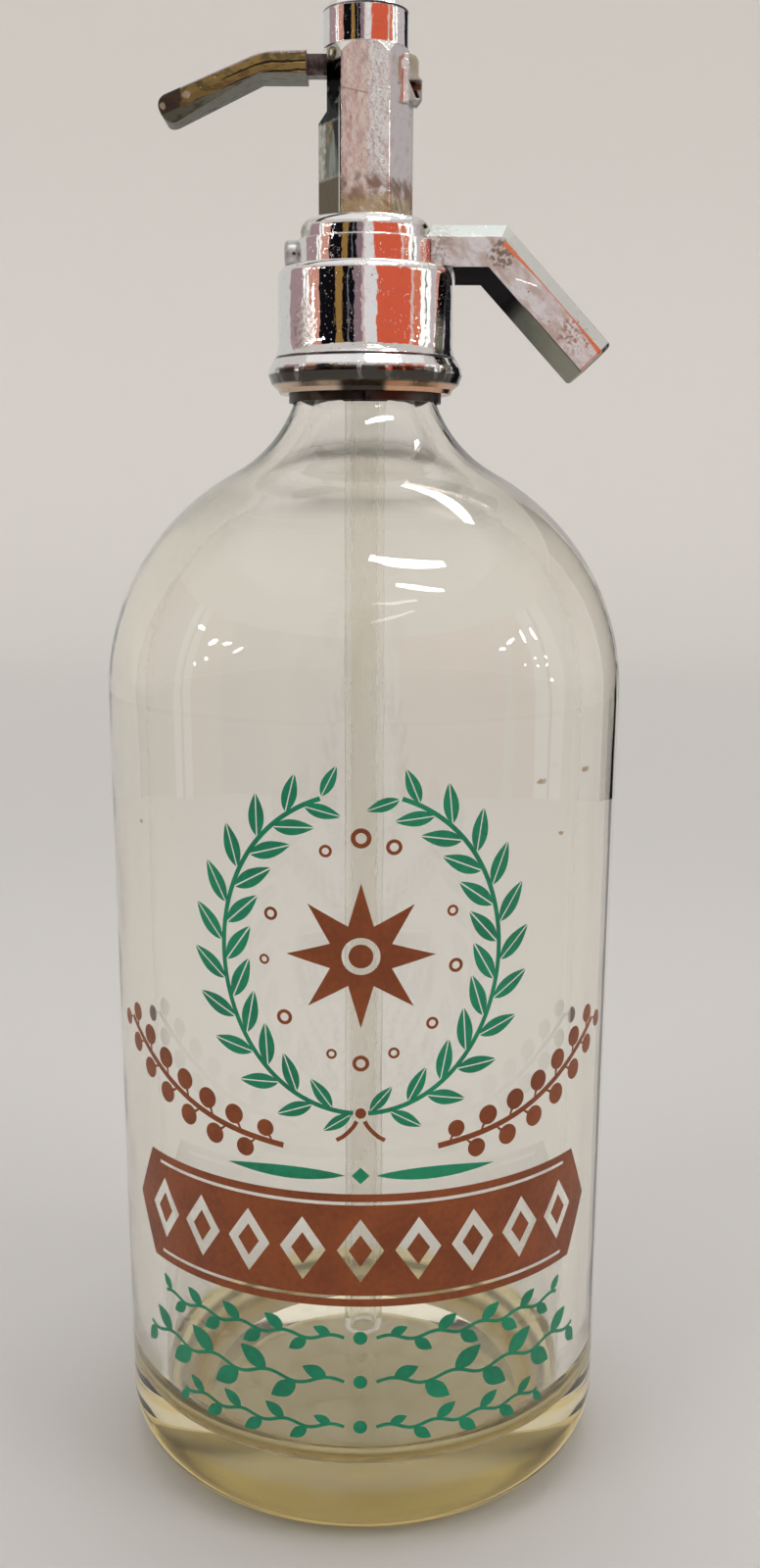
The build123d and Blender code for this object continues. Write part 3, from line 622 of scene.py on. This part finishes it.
def leverPaint(place, spot, x, y, z, look):
    # plate worn through to brass on the sides, with dark lengthwise grooves; painted shade on the faces that
    # look down and a painted highlight on the flank
    flat, slope = (line(minus(x, start), rise, base)
                   for base, rise, start in (look["flat"], look["slope"]))
    top = calc("SMOOTH_MIN", flat, slope, look["blend"])
    wander = times(minus(noise(place, 3.0, 4.0), 0.5), 0.9)
    down = calc("ADD", minus(top, z), wander)
    flank = step(unsigned(facing("Y")), 0.55, 0.8)
    grain = noise(place, 1.2, 5.0, (0.5, 1.0, 1.0))
    handle = step(x, *look["handle"])
    rubbed = step(line(unsigned(y), -0.09, grain), 0.05, 0.45)
    cover((handle, step(facing("Z"), 0.5, 0.9), rubbed, 0.6), look["brass"], 0.3)
    brassy = times(handle, flank, step(down, 0.25, 0.45))
    cover(brassy, mixColor(step(grain, 0.42, 0.58), look["brass"], look["olive"]), 0.3)
    upperLine = look["lines"][0][0]
    shining = effect(pitting, place, Size=0.9, Amount=0.8, Patch=4.0)
    cover((brassy, shining, step(down, upperLine, upperLine - 0.3)), look["gold"], 0.22)
    lower = times(brassy, step(down, upperLine, upperLine + 0.3))
    cover(lower, look["brown"], 0.34)
    cover((lower, step(grain, 0.56, 0.48), 0.5), look["brass"], 0.3)
    for level, fade in look["lines"]:
        groove = step(offFrom(down, level), look["lineWidth"] * 1.6, look["lineWidth"] * 0.6)
        cover((brassy, groove, step(x, *fade) if fade else 1.0), look["groove"], 0.5, -0.08)
    # painted shade on the faces that look down
    below = step(facing("Z"), -0.2, -0.5)
    cover(below, look["under"], 0.4)
    cover((below, step(grain, 0.52, 0.66), 0.55), look["groove"], 0.5)
    tip = step(line(grain, 2.0, x), look["tip"] + 1.2, look["tip"] + 0.6)
    cover((tip, minus(1.0, below), 0.92), look["tipColor"], 0.35)
    # painted highlight on the flank
    cover((patchAt(spot, *look["glint"], 0.4), flank), look["glintColor"], 0.2)
    cover(patchAt(spot, *look["rub"], 0.4), look["rubColor"], 0.3)
    neck = mixColor(step(noise(place, 1.8, 4.0), 0.40, 0.60), look["neckColor"], look["neckDark"])
    cover(step(x, *look["neck"]), neck, 0.33)


spoutSet = {"bend": (26.1, 257.09), "slope": 47.0, "faceHalf": 2.94, "length": 29.6,
            "run": (0.86, 0.93, 0.89), "arm": (0.80, 0.82, 0.82), "mottle": (0.58, 0.49, 0.44),
            "shade": (0.012, 0.011, 0.014), "shadeEnd": (0.34, 0.35, 0.30), "redReflection": (0.80, 0.25, 0.12),
            "rootStain": (0.33, 0.28, 0.22), "scratch": ((30.0, 252.1), 18.0), "scratchEnds": (30.2, 34.8),
            "scratchColor": (0.95, 0.95, 0.92),
            "patches": [((27.4, -5.1, 256.6), (3.4, 3.0, 3.6), (0.13, 0.095, 0.045), 0.40),
                        ((42.0, -5.1, 240.8), (4.2, 3.0, 5.0), (0.30, 0.20, 0.11), 0.46)]}


def spoutPaint(place, spot, x, y, z, look):
    # worn satin faces, a painted pale sheen on the upper bevels, painted shade on the underside, specks of
    # rust and a painted red reflection along the upper edge of the arm
    offset = across(x, z, look["bend"], look["slope"])
    down = times(across(x, z, look["bend"], look["slope"] - 90.0), -1.0)
    arm = step(down, -0.3, 0.3)
    specks = noise(place, 0.7, 6.0)
    side = facing("Y")
    front = step(side, -0.8, -0.95)
    upper = times(step(facing("Z"), 0.3, 0.5), step(side, -0.2, -0.4))
    # painted sheen: faces that look up are made paler
    cover(upper, mixColor(arm, look["run"], look["arm"]), 0.13)
    cover((upper, step(specks, 0.67, 0.72)), satinLook["stain"], 0.5)
    cover((front, step(slanted(place, 2.2, 47, 2.5), 0.44, 0.66)), look["mottle"], 0.22)
    for centre, size, rust, low in look["patches"]:
        ragged = patchAt(spot, centre, size, 0.6)
        cover((ragged, step(specks, low, low + 0.18), 0.72), rust, 0.45, 0.01)
    cover((step(x, 19.0, 15.0), step(specks, 0.40, 0.62), 0.6), look["rootStain"], 0.4)
    face = times(arm, front)
    fromMiddle = unsigned(line(down, 2.0 / look["length"], -1.0))
    width = line(calc("POWER", fromMiddle, 2.0), 0.95, 0.15)
    inward = minus(minus(look["faceHalf"], offset), width)
    # painted reflection: a red line along the upper edge of the arm's face
    cover((face, step(inward, 0.15, -0.15)), look["redReflection"], 0.2)
    fromLine = unsigned(across(x, z, *look["scratch"]))
    cover((face, step(fromLine, 0.16, 0.05), within(x, *look["scratchEnds"], 0.2)),
          look["scratchColor"], 0.25, -0.03)
    shade = mixColor(step(down, 9.0, 15.0), look["shade"], look["shadeEnd"])
    # painted shade on the faces that look down, and along the lower border of the face
    cover(step(facing("Z"), -0.15, -0.45), shade, 0.24)
    border = step(calc("ADD", offset, look["faceHalf"]), 0.35, 0.1)
    cover((face, border, step(down, 10.0, 14.0), 0.85), look["shade"], 0.3)


plugSet = {"color": (0.50, 0.50, 0.505), "root": (-12.4, -10.8), "rootColor": (0.46, 0.40, 0.31),
           "pit": ((-14.4, -2.8, 256.9), (0.45, 1.5, 0.45)), "pitColor": (0.05, 0.045, 0.04)}


def plugPaint(place, spot, x, y, z, look):
    # even grey plate with one deep pit, yellowish where it meets the head
    cover(0.85, look["color"], 0.48)
    cover(step(x, *look["root"]), look["rootColor"], 0.4)
    cover(patchAt(spot, *look["pit"], 0.2), look["pitColor"], 0.5, -0.1)


screwSet = {"turn": 60.0, "offset": -1.30, "level": 294.3, "olive": (0.19, 0.165, 0.095),
            "rubbed": (0.92, 0.80, 0.52)}


def screwPaint(place, spot, x, y, z, look):
    # an olive head with a painted highlight in the middle
    turn = math.radians(look["turn"])
    side = line(y, -math.sin(turn), line(x, math.cos(turn), look["offset"]))
    rise = minus(z, look["level"])
    away = lengthOf(put("ShaderNodeCombineXYZ", {"X": side, "Z": rise}).outputs[0])
    cover(step(away, 0.45, 0.7), look["olive"], 0.35)
    # painted highlight: pale gold in the middle of the head
    cover(step(away, 0.6, 0.3), look["rubbed"], 0.2)


def pinPaint(place, spot, x, y, z, look):
    cover(0.9, look["column"], 0.16)


plate("top_cap", "cap plate", brightLook, capPaint, capSet)
plate("coupling_collar", "collar plate", brightLook, collarPaint, collarSet)
plate("neck_ring", "ring plate", brightLook, ringPaint, ringSet)
plate("cross_bore_plug", "plug plate", satinLook, plugPaint, plugSet)
plate("cap_lock_screw", "screw plate", satinLook, screwPaint, screwSet)
plate("fulcrum_pin", "pin plate", satinLook, pinPaint, headSet)
plate("head_body", "head plate", brightLook, headPaint, headSet, headSet["edge"])
plate("lever", "lever plate", satinLook, leverPaint, leverSet)
plate("spout", "spout plate", satinLook, spoutPaint, spoutSet)
print("metal plated")


# inner metal, rubber and packing

brassSet = {"color": (0.70, 0.50, 0.20), "tarnish": (0.32, 0.20, 0.08), "roughness": 0.24}
steelSet = {"color": (0.56, 0.56, 0.57), "tarnish": (0.25, 0.23, 0.21), "roughness": 0.28}
darkRingSet = {"color": (0.055, 0.045, 0.04), "tarnish": (0.012, 0.010, 0.010), "roughness": 0.36}
rubberSet = {"color": (0.018, 0.017, 0.016), "dust": (0.06, 0.055, 0.05), "grain": 0.5}
fibreSet = {"color": (0.30, 0.05, 0.03), "dust": (0.38, 0.12, 0.08), "grain": 0.4}
flaxSet = {"color": (0.42, 0.36, 0.22), "dust": (0.22, 0.18, 0.10), "grain": 0.6}


def turnedMetal(name, look):
    # machined metal with fine turning marks and some tarnish
    material, shader, place = newMaterial(name)
    marks = noise(place, 0.35, 2.0, (0.05, 0.05, 1.0))
    cloud = noise(place, 2.5, 5.0)
    feed(shader, {"Base Color": mixColor(step(cloud, 0.45, 0.75), look["color"], look["tarnish"]),
                  "Roughness": line(cloud, 0.25, look["roughness"] - 0.1), "Metallic": 1.0})
    wornSurface(shader, marks, 0.01 * mm)
    return material


def dullSolid(name, look):
    # rubber, fibre or packing: matt, with a fine grain and a little dust
    material, shader, place = newMaterial(name)
    grain = noise(place, look["grain"], 5.0)
    dust = step(noise(place, look["grain"] * 7, 4.0), 0.5, 0.8)
    feed(shader, {"Base Color": mixColor(dust, look["color"], look["dust"]), "Specular IOR Level": 0.35,
                  "Roughness": line(grain, 0.3, 0.5)})
    wornSurface(shader, grain, 0.06 * mm)
    return material


dress(turnedMetal("brass", brassSet), "spring_seat", "gland_nut", "valve_seat", "valve_stem", "spring_cap",
      "washer_cup", "cup_nut")
dress(turnedMetal("spring steel", steelSet), "return_spring")
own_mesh(nodes["return_spring"])
dress(turnedMetal("dark ring", darkRingSet), "split_ring_half_left", "split_ring_half_right")
dress(dullSolid("black rubber", rubberSet), "mouth_gasket", "tube_ferrule", "valve_washer")
dress(dullSolid("red fibre", fibreSet), "cap_washer")
dress(dullSolid("flax packing", flaxSet), "packing_ring")
print("inner pieces finished")


# glass

glassSet = {"straw": (0.84, 0.68, 0.04), "density": 6.25, "wave": 0.12 * mm, "waveSize": 22.0,
            "scuffs": (219.5, 226.5), "film": (14.0, 30.0), "inside": (51.0, 50.0), "heel": (16.0, 12.0),
            "heelReach": (34.0, 38.0), "heelColor": (1.0, 0.82, 0.33), "underRough": 0.32,
            "corner": (15.2, 16.6), "cornerReach": (38.0, 50.5), "cornerShade": (0.12, 0.115, 0.08),
            # brown specks of dirt: place and half size
            "speckColor": (0.33, 0.19, 0.09),
            "specks": [((34.0, -41.7, 156.0), (1.4, 1.4, 0.7)), ((43.5, -31.7, 156.6), (1.5, 1.5, 0.8)),
                       ((38.5, -37.6, 145.1), (0.8, 0.8, 0.5)), ((-43.7, -31.4, 145.8), (0.9, 0.9, 0.5))]}
tubeSet = {"color": (1.0, 0.99, 0.96), "lime": (0.97, 0.95, 0.90), "roughness": 0.14}


def clearGlass(look):
    # old clear glass: scuffed neck and underside, a faint film low inside, a honey-coloured heel, and a
    # painted dark ring of shade round the edge of the inner floor
    material, shader, place = newMaterial("clear glass")
    wave = effect(unevenness, place, "Height", Size=look["waveSize"])
    spot, x, y, z = millimetres(place)
    color = (1.0, 1.0, 1.0)
    for centre, size in look["specks"]:
        color = mixColor(patchAt(spot, centre, size, 0.7), color, look["speckColor"])
    lines = effect(scratches, place, Amount=1.0, Spacing=5.0, Width=0.02)
    rubbed = times(within(z, *look["scuffs"], 1.0), lines, step(x, -6.0, -9.0))
    reach = lengthOf(vectorCalc("MULTIPLY", spot, (1, 1, 0)))
    film = times(step(reach, *look["inside"]), within(z, *look["film"], 8.0),
                 step(noise(place, 9.0, 5.0), 0.42, 0.62), 0.22)
    heel = times(step(z, *look["heel"]), step(reach, *look["heelReach"]))
    color = mixColor(heel, color, look["heelColor"])
    # painted shade: a dark ring round the edge of the inner floor
    corner = times(within(z, *look["corner"], 0.5), within(reach, *look["cornerReach"], 0.5))
    color = mixColor(corner, color, look["cornerShade"])
    rough = line(step(facing("Z"), -0.5, -0.9), look["underRough"], film)
    feed(shader, {"Base Color": color, "Metallic": 0.0, "Transmission Weight": 1.0, "IOR": 1.5,
                  "Roughness": line(rubbed, 0.35, rough)})
    wornSurface(shader, wave, look["wave"])
    tint = put("ShaderNodeVolumeAbsorption", {"Color": look["straw"], "Density": look["density"]})
    tree.links.new(tint.outputs[0], tree.nodes["Material Output"].inputs["Volume"])
    return material


def cloudedGlass(look):
    material, shader, place = newMaterial("clouded glass")
    lime = step(noise(place, 9.0, 5.0, (1.0, 1.0, 0.3)), 0.4, 0.7)
    feed(shader, {"Base Color": mixColor(lime, look["color"], look["lime"]), "Metallic": 0.0,
                  "Roughness": line(lime, 0.25, look["roughness"]), "Transmission Weight": 0.96, "IOR": 1.14})
    wornSurface(shader, noise(place, 0.8, 3.0), 0.01 * mm)
    return material


dress(clearGlass(glassSet), "glass_bottle")
dress(cloudedGlass(tubeSet), "dip_tube")
print("glass made")


# printed enamel: flat outlines, repeated along paths, then wrapped on the bottle

def outerRadii():
    # height and radius up the straight wall of the bottle
    found = {}
    for vertex in nodes["glass_bottle"].data.vertices:
        x, y, z = vertex.co
        radius = math.hypot(x, y)
        if 0.010 < z < 0.172 and radius > 0.0510:
            found[round(z, 5)] = max(radius, found.get(round(z, 5), 0))
    return sorted(found.items())


wall = outerRadii()
print("wall levels:", wall[:3], wall[-3:])


def wallRadius(z):
    for (low, first), (high, second) in zip(wall, wall[1:]):
        if low <= z <= high:
            return first + (second - first) * (z - low) / (high - low)
    return wall[0][1] if z < wall[0][0] else wall[-1][1]


def outline(name, loops):
    # closed flat loops in millimetres; a loop inside another is a hole
    data = bpy.data.curves.new(name, "CURVE")
    data.dimensions = "2D"
    data.fill_mode = "NONE"
    for points, closed in loops:
        spline = data.splines.new("POLY")
        spline.points.add(len(points) - 1)
        spline.use_cyclic_u = closed
        for point, (x, y) in zip(spline.points, points):
            point.co = (x, y, 0, 1)
    return addObject(name, data)


def repeatTree():
    # copies of a flat shape along a path, filled, with any plain outline joined in
    group = openTree(bpy.data.node_groups.new("repeatAlongPath", "GeometryNodeTree"))
    kinds = {"Geometry": "Geometry", "Shape": "Object", "Path": "Object", "Frame": "Object", "Count": "Int",
             "Turn": "Float", "Swing": "Float", "End Size": "Float", "Finish": "Material"}
    for key, kind in kinds.items():
        group.interface.new_socket(key, in_out="INPUT", socket_type="NodeSocket" + kind)
    group.interface.new_socket("Geometry", in_out="OUTPUT", socket_type="NodeSocketGeometry")
    given = put("NodeGroupInput").outputs
    shape, path, extra = [put("GeometryNodeObjectInfo", {"Object": given[key]}).outputs["Geometry"]
                          for key in ("Shape", "Path", "Frame")]
    points = put("GeometryNodeResampleCurve", {"Curve": path, "Count": given["Count"]}).outputs[0]
    ends = unsigned(line(put("GeometryNodeSplineParameter").outputs["Factor"], 2.0, -1.0))
    shrink = minus(1.0, given["End Size"])
    size = minus(1.0, times(calc("POWER", ends, 3.0), shrink))
    run = put("ShaderNodeSeparateXYZ", {"Vector": put("GeometryNodeInputTangent").outputs[0]}).outputs
    heading = calc("ARCTAN2", run["Y"], run["X"])
    odd = calc("MODULO", put("GeometryNodeInputIndex").outputs[0], 2.0)
    swung = times(line(odd, -2.0, 1.0), given["Swing"])
    turn = calc("ADD", calc("ADD", heading, given["Turn"]), swung)
    rotation = put("ShaderNodeCombineXYZ", {"Z": turn}).outputs[0]
    copies = put("GeometryNodeInstanceOnPoints", {"Points": points, "Instance": shape, "Rotation": rotation,
                                                  "Scale": size}).outputs[0]
    joined = put("GeometryNodeJoinGeometry")
    tree.links.new(put("GeometryNodeRealizeInstances", {"Geometry": copies}).outputs[0], joined.inputs[0])
    tree.links.new(extra, joined.inputs[0])
    filled = put("GeometryNodeFillCurve", {"Curve": joined.outputs[0]}).outputs[0]
    real = put("GeometryNodeRealizeInstances", {"Geometry": filled}).outputs[0]
    done = put("GeometryNodeSetMaterial", {"Geometry": real, "Material": given["Finish"]}).outputs[0]
    tree.links.new(done, put("NodeGroupOutput").inputs[0])
    return group


repeatAlongPath = repeatTree()


def flatRow(finish, shape, path, count, turn=0.0, swing=0.0, endSize=1.0, extra=None):
    # one filled flat mesh, in millimetres
    parts = {"Shape": outline("shape", shape) if shape else None, "Path": outline("path", [(path, False)]),
             "Frame": outline("frame", extra) if extra else None}
    carrier = addObject("carrier", bpy.data.meshes.new("carrier"))
    modifier = carrier.modifiers.new("row", "NODES")
    modifier.node_group = repeatAlongPath
    values = {**parts, "Count": count, "Turn": turn, "Swing": swing, "End Size": endSize, "Finish": finish}
    for item in repeatAlongPath.interface.items_tree:
        if item.in_out == "INPUT" and values.get(item.name) is not None:
            modifier[item.identifier] = values[item.name]
    bpy.context.view_layer.update()
    mesh = bpy.data.meshes.new_from_object(carrier.evaluated_get(bpy.context.evaluated_depsgraph_get()))
    for thing in [carrier, *parts.values()]:
        if thing:
            bpy.data.objects.remove(thing)
    return mesh


def flatShape(finish, *loops):
    # plain outlines with nothing repeated
    return flatRow(finish, None, [(0, 0), (1, 0)], 2, extra=list(loops))


printSet = {"thickness": 0.05, "lift": 0.018, "cut": 1.4, "levelOfArtwork": 80}


def wrapPrint(name, flats, finish):
    # joins flat meshes, gives them thickness and bends them round the wall
    shape = bmesh.new()
    for flat in flats:
        shape.from_mesh(flat)
    bmesh.ops.remove_doubles(shape, verts=shape.verts, dist=0.002)
    bmesh.ops.dissolve_degenerate(shape, edges=shape.edges, dist=0.002)
    for face in shape.faces:
        face.normal_update()
        if face.normal.z < 0:
            face.normal_flip()
    low = min(v.co.x for v in shape.verts)
    high = max(v.co.x for v in shape.verts)
    at = low + printSet["cut"]
    while at < high:
        bmesh.ops.bisect_plane(shape, geom=shape.verts[:] + shape.edges[:] + shape.faces[:], dist=1e-4,
                               plane_co=(at, 0, 0), plane_no=(1, 0, 0))
        at += printSet["cut"]
    # the extrusion turns the faces it keeps to the other side, so the whole shell faces outwards
    grown = bmesh.ops.extrude_face_region(shape, geom=shape.faces[:], use_keep_orig=True)["geom"]
    for vertex in grown:
        if isinstance(vertex, bmesh.types.BMVert):
            vertex.co.z += printSet["thickness"]
    bmesh.ops.triangulate(shape, faces=shape.faces[:])
    middle = wallRadius(printSet["levelOfArtwork"] * mm)
    for vertex in shape.verts:
        turn = vertex.co.x * mm / middle
        radius = wallRadius(vertex.co.y * mm) + (printSet["lift"] + vertex.co.z) * mm
        vertex.co = Vector((radius * math.sin(turn), -radius * math.cos(turn), vertex.co.y * mm))
    mesh = bpy.data.meshes.new(name)
    shape.to_mesh(mesh)
    shape.free()
    mesh.materials.clear()
    mesh.materials.append(finish)
    piece = addObject(name, mesh)
    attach(piece, "siphon")
    print(name, len(mesh.polygons), "faces")


def enamel(name, color, dark):
    material, shader, place = newMaterial(name)
    fine = cloudy(place, 900.0, 4.0)
    share = line(fine, 0.4, times(cloudy(place, 90.0, 3.0), 0.6))
    feed(shader, {"Base Color": mixColor(step(share, 0.35, 0.65), color, dark),
                  "Roughness": line(fine, 0.25, 0.25), "Specular IOR Level": 0.35})
    wornSurface(shader, share, 0.02 * mm)
    return material


green = enamel("green enamel", (0.005, 0.235, 0.115), (0.004, 0.165, 0.085))
brown = enamel("brown enamel", (0.24, 0.058, 0.012), (0.17, 0.038, 0.008))


def arc(radiusX, radiusY, centre, start, end, count):
    turns = [math.radians(start + (end - start) * k / count) for k in range(count + 1)]
    return [(centre[0] + radiusX * math.cos(turn), centre[1] + radiusY * math.sin(turn)) for turn in turns]


def circleLoop(radius, centre=(0, 0), count=20):
    return arc(radius, radius, centre, 0, 360 * (1 - 1 / count), count - 1), True


def diamondLoop(wide, tall):
    return [(-wide, 0), (0, -tall), (wide, 0), (0, tall)], True


def leafLoops(length, width, slit=0.28, start=0.8):
    # a pointed leaf, in two halves either side of a clear midrib if it has a slit
    halves = []
    for side in (1, -1):
        edge = []
        for k in range(1, 10):
            share = k / 10
            half = width / 2 * math.sin(math.pi * share ** 0.85) ** 0.9
            edge.append((start + length * share, side * (slit / 2 + half)))
        halves.append([(start, side * slit / 2)] + edge + [(start + length, side * slit / 2)])
    if slit:
        return [(half, True) for half in halves]
    return [(halves[0] + halves[1][-2:0:-1], True)]


def berryLoop(reach, radius, stalk=0.34):
    # a round berry on a short stalk
    edge = arc(radius, radius, (reach, 0), -172, 172, 22)
    return [([(0.6, -stalk / 2)] + edge + [(0.6, stalk / 2)], True)]


def moved(loops, x, y, flip=1):
    return [([(x + flip * a, y + b) for a, b in points], closed) for points, closed in loops]


def ribbon(points, width):
    # a closed loop that follows a line at an even width
    left, right = [], []
    for index, (x, y) in enumerate(points):
        before = points[max(index - 1, 0)]
        after = points[min(index + 1, len(points) - 1)]
        run = Vector((after[0] - before[0], after[1] - before[1])).normalized()
        left.append((x - run.y * width / 2, y + run.x * width / 2))
        right.append((x + run.y * width / 2, y - run.x * width / 2))
    return left + right[::-1], True


wreathSet = {"centre": (0, 125), "halfWidth": 27.0, "halfHeight": 31.0, "gap": 16, "leaf": (8.6, 3.1),
             "leaves": 23, "swing": 0.72, "endSize": 0.72, "stem": 0.9}


def makeWreath(values):
    flats = []
    for side in (1, -1):
        start = -90 + side * 3
        end = -90 + side * (180 - values["gap"])
        path = arc(values["halfWidth"], values["halfHeight"], values["centre"], start, end, 60)
        flats.append(flatRow(green, leafLoops(*values["leaf"]), path, values["leaves"], 0.0, values["swing"],
                             values["endSize"]))
        flats.append(flatShape(green, ribbon(path, values["stem"])))
    wrapPrint("greenWreath", flats, green)


starSet = {"centre": (0, 125), "outer": 14.0, "inner": 6.2, "hole": 3.6, "button": 2.3, "points": 8,
           "bubbles": [(0, 22.5, 1.9), (-6.5, 20.0, 1.2), (6.0, 20.8, 1.5), (-17.0, 7.5, 1.3),
                       (17.2, 8.2, 1.1), (-18.4, -1.5, 1.0), (18.0, -2.5, 1.4), (-14.5, -12.5, 1.5),
                       (13.5, -13.5, 1.2), (0, -21.0, 1.6), (-5.5, -19.2, 1.0), (6.2, -19.0, 1.1)]}


def makeStar(values):
    # a star with a button in its hole, and rings for bubbles
    star = []
    for k in range(values["points"] * 2):
        radius = values["outer"] if k % 2 == 0 else values["inner"]
        turn = math.pi * (k / values["points"] + 0.5)
        star.append((radius * math.cos(turn), radius * math.sin(turn)))
    loops = [(star, True), circleLoop(values["hole"], count=28), circleLoop(values["button"], count=24)]
    for x, y, radius in values["bubbles"]:
        loops += [circleLoop(radius, (x, y)), circleLoop(radius * 0.55, (x, y), 16)]
    wrapPrint("brownStar", [flatShape(brown, *moved(loops, *values["centre"]))], brown)


bandSet = {"halfLength": 56.0, "low": 54.0, "high": 77.5, "point": 6.0, "lozenge": (4.6, 6.6), "lozenges": 9,
           "line": 0.7, "lineGap": 1.6, "lineInset": 3.0, "lozengeInset": 4.5}


def makeBand(values):
    # a pointed band with a clear line along both edges and a row of clear lozenges
    half, low, high, point = (values[key] for key in ("halfLength", "low", "high", "point"))
    middle = (low + high) / 2
    end = half - point
    edges = [([(-half, middle), (-end, low), (end, low), (half, middle), (end, high), (-end, high)], True)]
    reach = end - values["lineInset"]
    for level in (low + values["lineGap"], high - values["lineGap"] - values["line"]):
        top = level + values["line"]
        edges.append(([(-reach, level), (reach, level), (reach, top), (-reach, top)], True))
    wide, tall = values["lozenge"]
    spread = end - values["lozengeInset"]
    row = flatRow(brown, [diamondLoop(wide, tall), diamondLoop(wide / 2, tall / 2)],
                  [(-spread, middle), (spread, middle)], values["lozenges"], extra=edges)
    wrapPrint("brownBand", [row], brown)


vineSet = {"stem": 0.7, "start": 3.2, "swing": 0.6, "endSize": 0.75, "dot": 1.4, "rows": [
    {"level": 47.3, "half": 45.0, "wave": (0.55, 9.6), "leaf": (4.9, 2.7)},
    {"level": 37.8, "half": 52.0, "wave": (0.8, 12.6), "leaf": (7.0, 3.9)},
    {"level": 28.0, "half": 39.5, "wave": (0.55, 9.6), "leaf": (4.9, 2.6)}],
           "slender": (24.0, 2.5, 0, 3.0), "slenderLevel": 81.3, "diamond": 1.7}


def waveLine(side, low, high, row, start):
    # points along a vine from low to high
    height, period = row["wave"]
    reaches = [low + (high - low) * k / 90 for k in range(91)]
    return [(side * x, row["level"] + height * math.sin(2 * math.pi * (x - start) / period)) for x in reaches]


def makeVines(values):
    # three leafy vines under the band, and a pair of slender leaves above it
    flats = []
    start, swing = values["start"], values["swing"]
    for row in values["rows"]:
        period = row["wave"][1]
        first = start + period / 4
        count = int((row["half"] - first) / (period / 2)) + 1
        last = first + (count - 1) * period / 2
        for side in (1, -1):
            crests = waveLine(side, first, last, row, start)
            flats.append(flatRow(green, leafLoops(*row["leaf"], 0, 0.5), crests, count, 0.0, side * swing,
                                 values["endSize"]))
            stem = waveLine(side, start, row["half"] + 1.0, row, start)
            flats.append(flatShape(green, ribbon(stem, values["stem"])))
        flats.append(flatShape(green, circleLoop(values["dot"], (0, row["level"]))))
    loops = [diamondLoop(values["diamond"], values["diamond"])]
    for side in (1, -1):
        loops += moved(leafLoops(*values["slender"]), 0, 0, side)
    flats.append(flatShape(green, *moved(loops, 0, values["slenderLevel"])))
    wrapPrint("greenVines", flats, green)


spraySet = {"start": (15.0, 86.6), "end": (57.5, 103.5), "bulge": 3.4, "stem": 1.15, "berry": (4.0, 2.15),
            "count": 14, "swing": 0.9, "endSize": 0.8, "tie": ((0, 94.0), 1.05), "tailWidth": 0.8,
            "tail": [(0.75, 92.4), (1.3, 91.4), (2.2, 90.3), (3.4, 89.2), (4.6, 88.5)]}


def makeSprays(values):
    # a spray of berries on either side, and a small tie at the foot of the wreath
    flats = []
    (x1, y1), (x2, y2) = values["start"], values["end"]
    for side in (1, -1):
        path = []
        for k in range(41):
            share = k / 40
            sag = values["bulge"] * math.sin(math.pi * share)
            path.append((side * (x1 + (x2 - x1) * share), y1 + (y2 - y1) * share - sag))
        flats.append(flatRow(brown, berryLoop(*values["berry"]), path[2:], values["count"], 0.0,
                             side * values["swing"], values["endSize"]))
        flats.append(flatShape(brown, ribbon(path, values["stem"])))
        tail = [(side * x, y) for x, y in values["tail"]]
        flats.append(flatShape(brown, ribbon(tail, values["tailWidth"])))
    spot, radius = values["tie"]
    flats.append(flatShape(brown, circleLoop(radius, spot)))
    wrapPrint("brownSprays", flats, brown)


makeWreath(wreathSet)
makeStar(starSet)
makeBand(bandSet)
makeVines(vineSet)
makeSprays(spraySet)
print("prints made")
